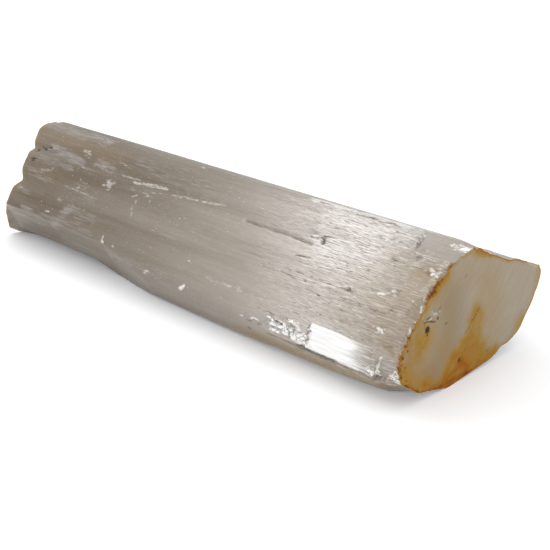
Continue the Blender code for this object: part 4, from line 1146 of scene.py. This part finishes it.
# The finest fibres stand up as a bump, nearly flat on the sawn face and in the mirror window, and the
# gaps between shards sink.
BUMP_STRENGTH = 0.55
BUMP_HEIGHT = 0.00022
height = math_node('MULTIPLY_ADD', bands, 0.6, math_node('MULTIPLY_ADD', threads, 0.5, strands))
height = math_node('MULTIPLY', height, math_node('MULTIPLY_ADD', layer["worn"], 0.6, 0.4))
skin_only = math_node('SUBTRACT', 1.0, math_node('MAXIMUM', layer["sawn"], mirror_reflection_amount))
height = math_node('MULTIPLY', height, math_node('MULTIPLY_ADD', skin_only, 0.92, 0.08))
height = math_node('MULTIPLY_ADD', shard_gaps, -0.6, height)
bump = tree.nodes.new("ShaderNodeBump")
bump.inputs["Strength"].default_value = BUMP_STRENGTH
bump.inputs["Distance"].default_value = BUMP_HEIGHT
tree.links.new(height, bump.inputs["Height"])
tree.links.new(bump.outputs["Normal"], shader.inputs["Normal"])
log_mesh.materials.append(spar)

# The sawn face is the same spar, but the saw left it dull all over, up to its rim, so it has hardly any
# gloss.
SAWN_GLOSS = 0.12
sawn_finish = spar.copy()
sawn_finish.name = "sawn_spar"
sawn_finish.node_tree.nodes["Principled BSDF"].inputs["Specular IOR Level"].default_value = SAWN_GLOSS
log_mesh.materials.append(sawn_finish)
dull_faces = np.minimum.reduceat(on_sawn[corner_point].astype(np.int32), face_start)
log_mesh.polygons.foreach_set("material_index", dull_faces)

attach(log, "root")
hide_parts("selenite_column")

# A plain pale floor to lie on, which glows faintly and coolly like a light table, in a white room that
# is brightest overhead.
FLOOR_HALF = 8.0
FLOOR_FINISH = {"Base Color": (0.9, 0.9, 0.9, 1.0), "Roughness": 0.9,
                "Emission Color": (0.90, 0.97, 1.07, 1.0), "Emission Strength": 0.14}
HORIZON_WHITE = 0.62
OVERHEAD_WHITE = 1.35
floor_bm = bmesh.new()
bmesh.ops.create_grid(floor_bm, x_segments=1, y_segments=1, size=FLOOR_HALF)
floor_mesh = bpy.data.meshes.new("floor")
floor_bm.to_mesh(floor_mesh)
floor_bm.free()
floor = bpy.data.objects.new("floor", floor_mesh)
bpy.context.collection.objects.link(floor)
floor_paint = bpy.data.materials.new("floor_paint")
floor_paint.use_nodes = True
for socket, value in FLOOR_FINISH.items():
    floor_paint.node_tree.nodes["Principled BSDF"].inputs[socket].default_value = value
floor_mesh.materials.append(floor_paint)

world = bpy.data.worlds.new("white_room")
world.use_nodes = True
sky = world.node_tree
sky_coords = sky.nodes.new("ShaderNodeTexCoord")
upward = sky.nodes.new("ShaderNodeSeparateXYZ")
brighten = sky.nodes.new("ShaderNodeMapRange")
brighten.inputs["To Min"].default_value = HORIZON_WHITE
brighten.inputs["To Max"].default_value = OVERHEAD_WHITE
sky.links.new(sky_coords.outputs["Generated"], upward.inputs["Vector"])
sky.links.new(upward.outputs["Z"], brighten.inputs["Value"])
sky.links.new(brighten.outputs["Result"], sky.nodes["Background"].inputs["Strength"])
sky.nodes["Background"].inputs["Color"].default_value = (1.0, 1.0, 1.0, 1.0)
bpy.context.scene.world = world
bpy.context.scene.view_settings.view_transform = 'Standard'

# One soft strip light stands over the far end and catches the silk of the broad face. It is the only
# lamp; the room and the floor give the rest of the light.
STRIP_CENTRE = Vector((-0.72, 0.05, 1.05))
STRIP_AIM = Vector((0.11, -0.02, 0.05))
STRIP_TURN = 5.0
STRIP_WIDE = 0.14
STRIP_LONG = 1.5
STRIP_WATTS = 4.6
strip_data = bpy.data.lights.new("strip_light", 'AREA')
strip_data.shape = 'RECTANGLE'
strip_data.size = STRIP_WIDE
strip_data.size_y = STRIP_LONG
strip_data.energy = STRIP_WATTS
strip = bpy.data.objects.new("strip_light", strip_data)
strip_lean = math.atan2(STRIP_CENTRE.x - STRIP_AIM.x, STRIP_CENTRE.z - STRIP_AIM.z)
strip_turned = Matrix.Rotation(math.radians(STRIP_TURN), 4, 'Z') @ Matrix.Rotation(strip_lean, 4, 'Y')
strip.matrix_world = Matrix.Translation(STRIP_CENTRE) @ strip_turned
bpy.context.collection.objects.link(strip)

# The camera stands off the sawn end's front corner and looks down along the log.
CAMERA_PLACE = (0.4076, -0.3785, 0.2321)
CAMERA_DOWN = 22.32
CAMERA_TURN = 44.75
SENSOR_MM = 36.0
FOCAL_PX = 1050.0
IMAGE_PX = 550.0
camera_data = bpy.data.cameras.new("camera")
camera_data.sensor_width = SENSOR_MM
camera_data.lens = SENSOR_MM * FOCAL_PX / IMAGE_PX
camera_data.clip_start = 0.01
camera_data.clip_end = 50.0
camera = bpy.data.objects.new("camera", camera_data)
camera.location = CAMERA_PLACE
camera.rotation_euler = Euler((math.radians(90.0 - CAMERA_DOWN), 0.0, math.radians(CAMERA_TURN)))
bpy.context.collection.objects.link(camera)
bpy.context.scene.camera = camera
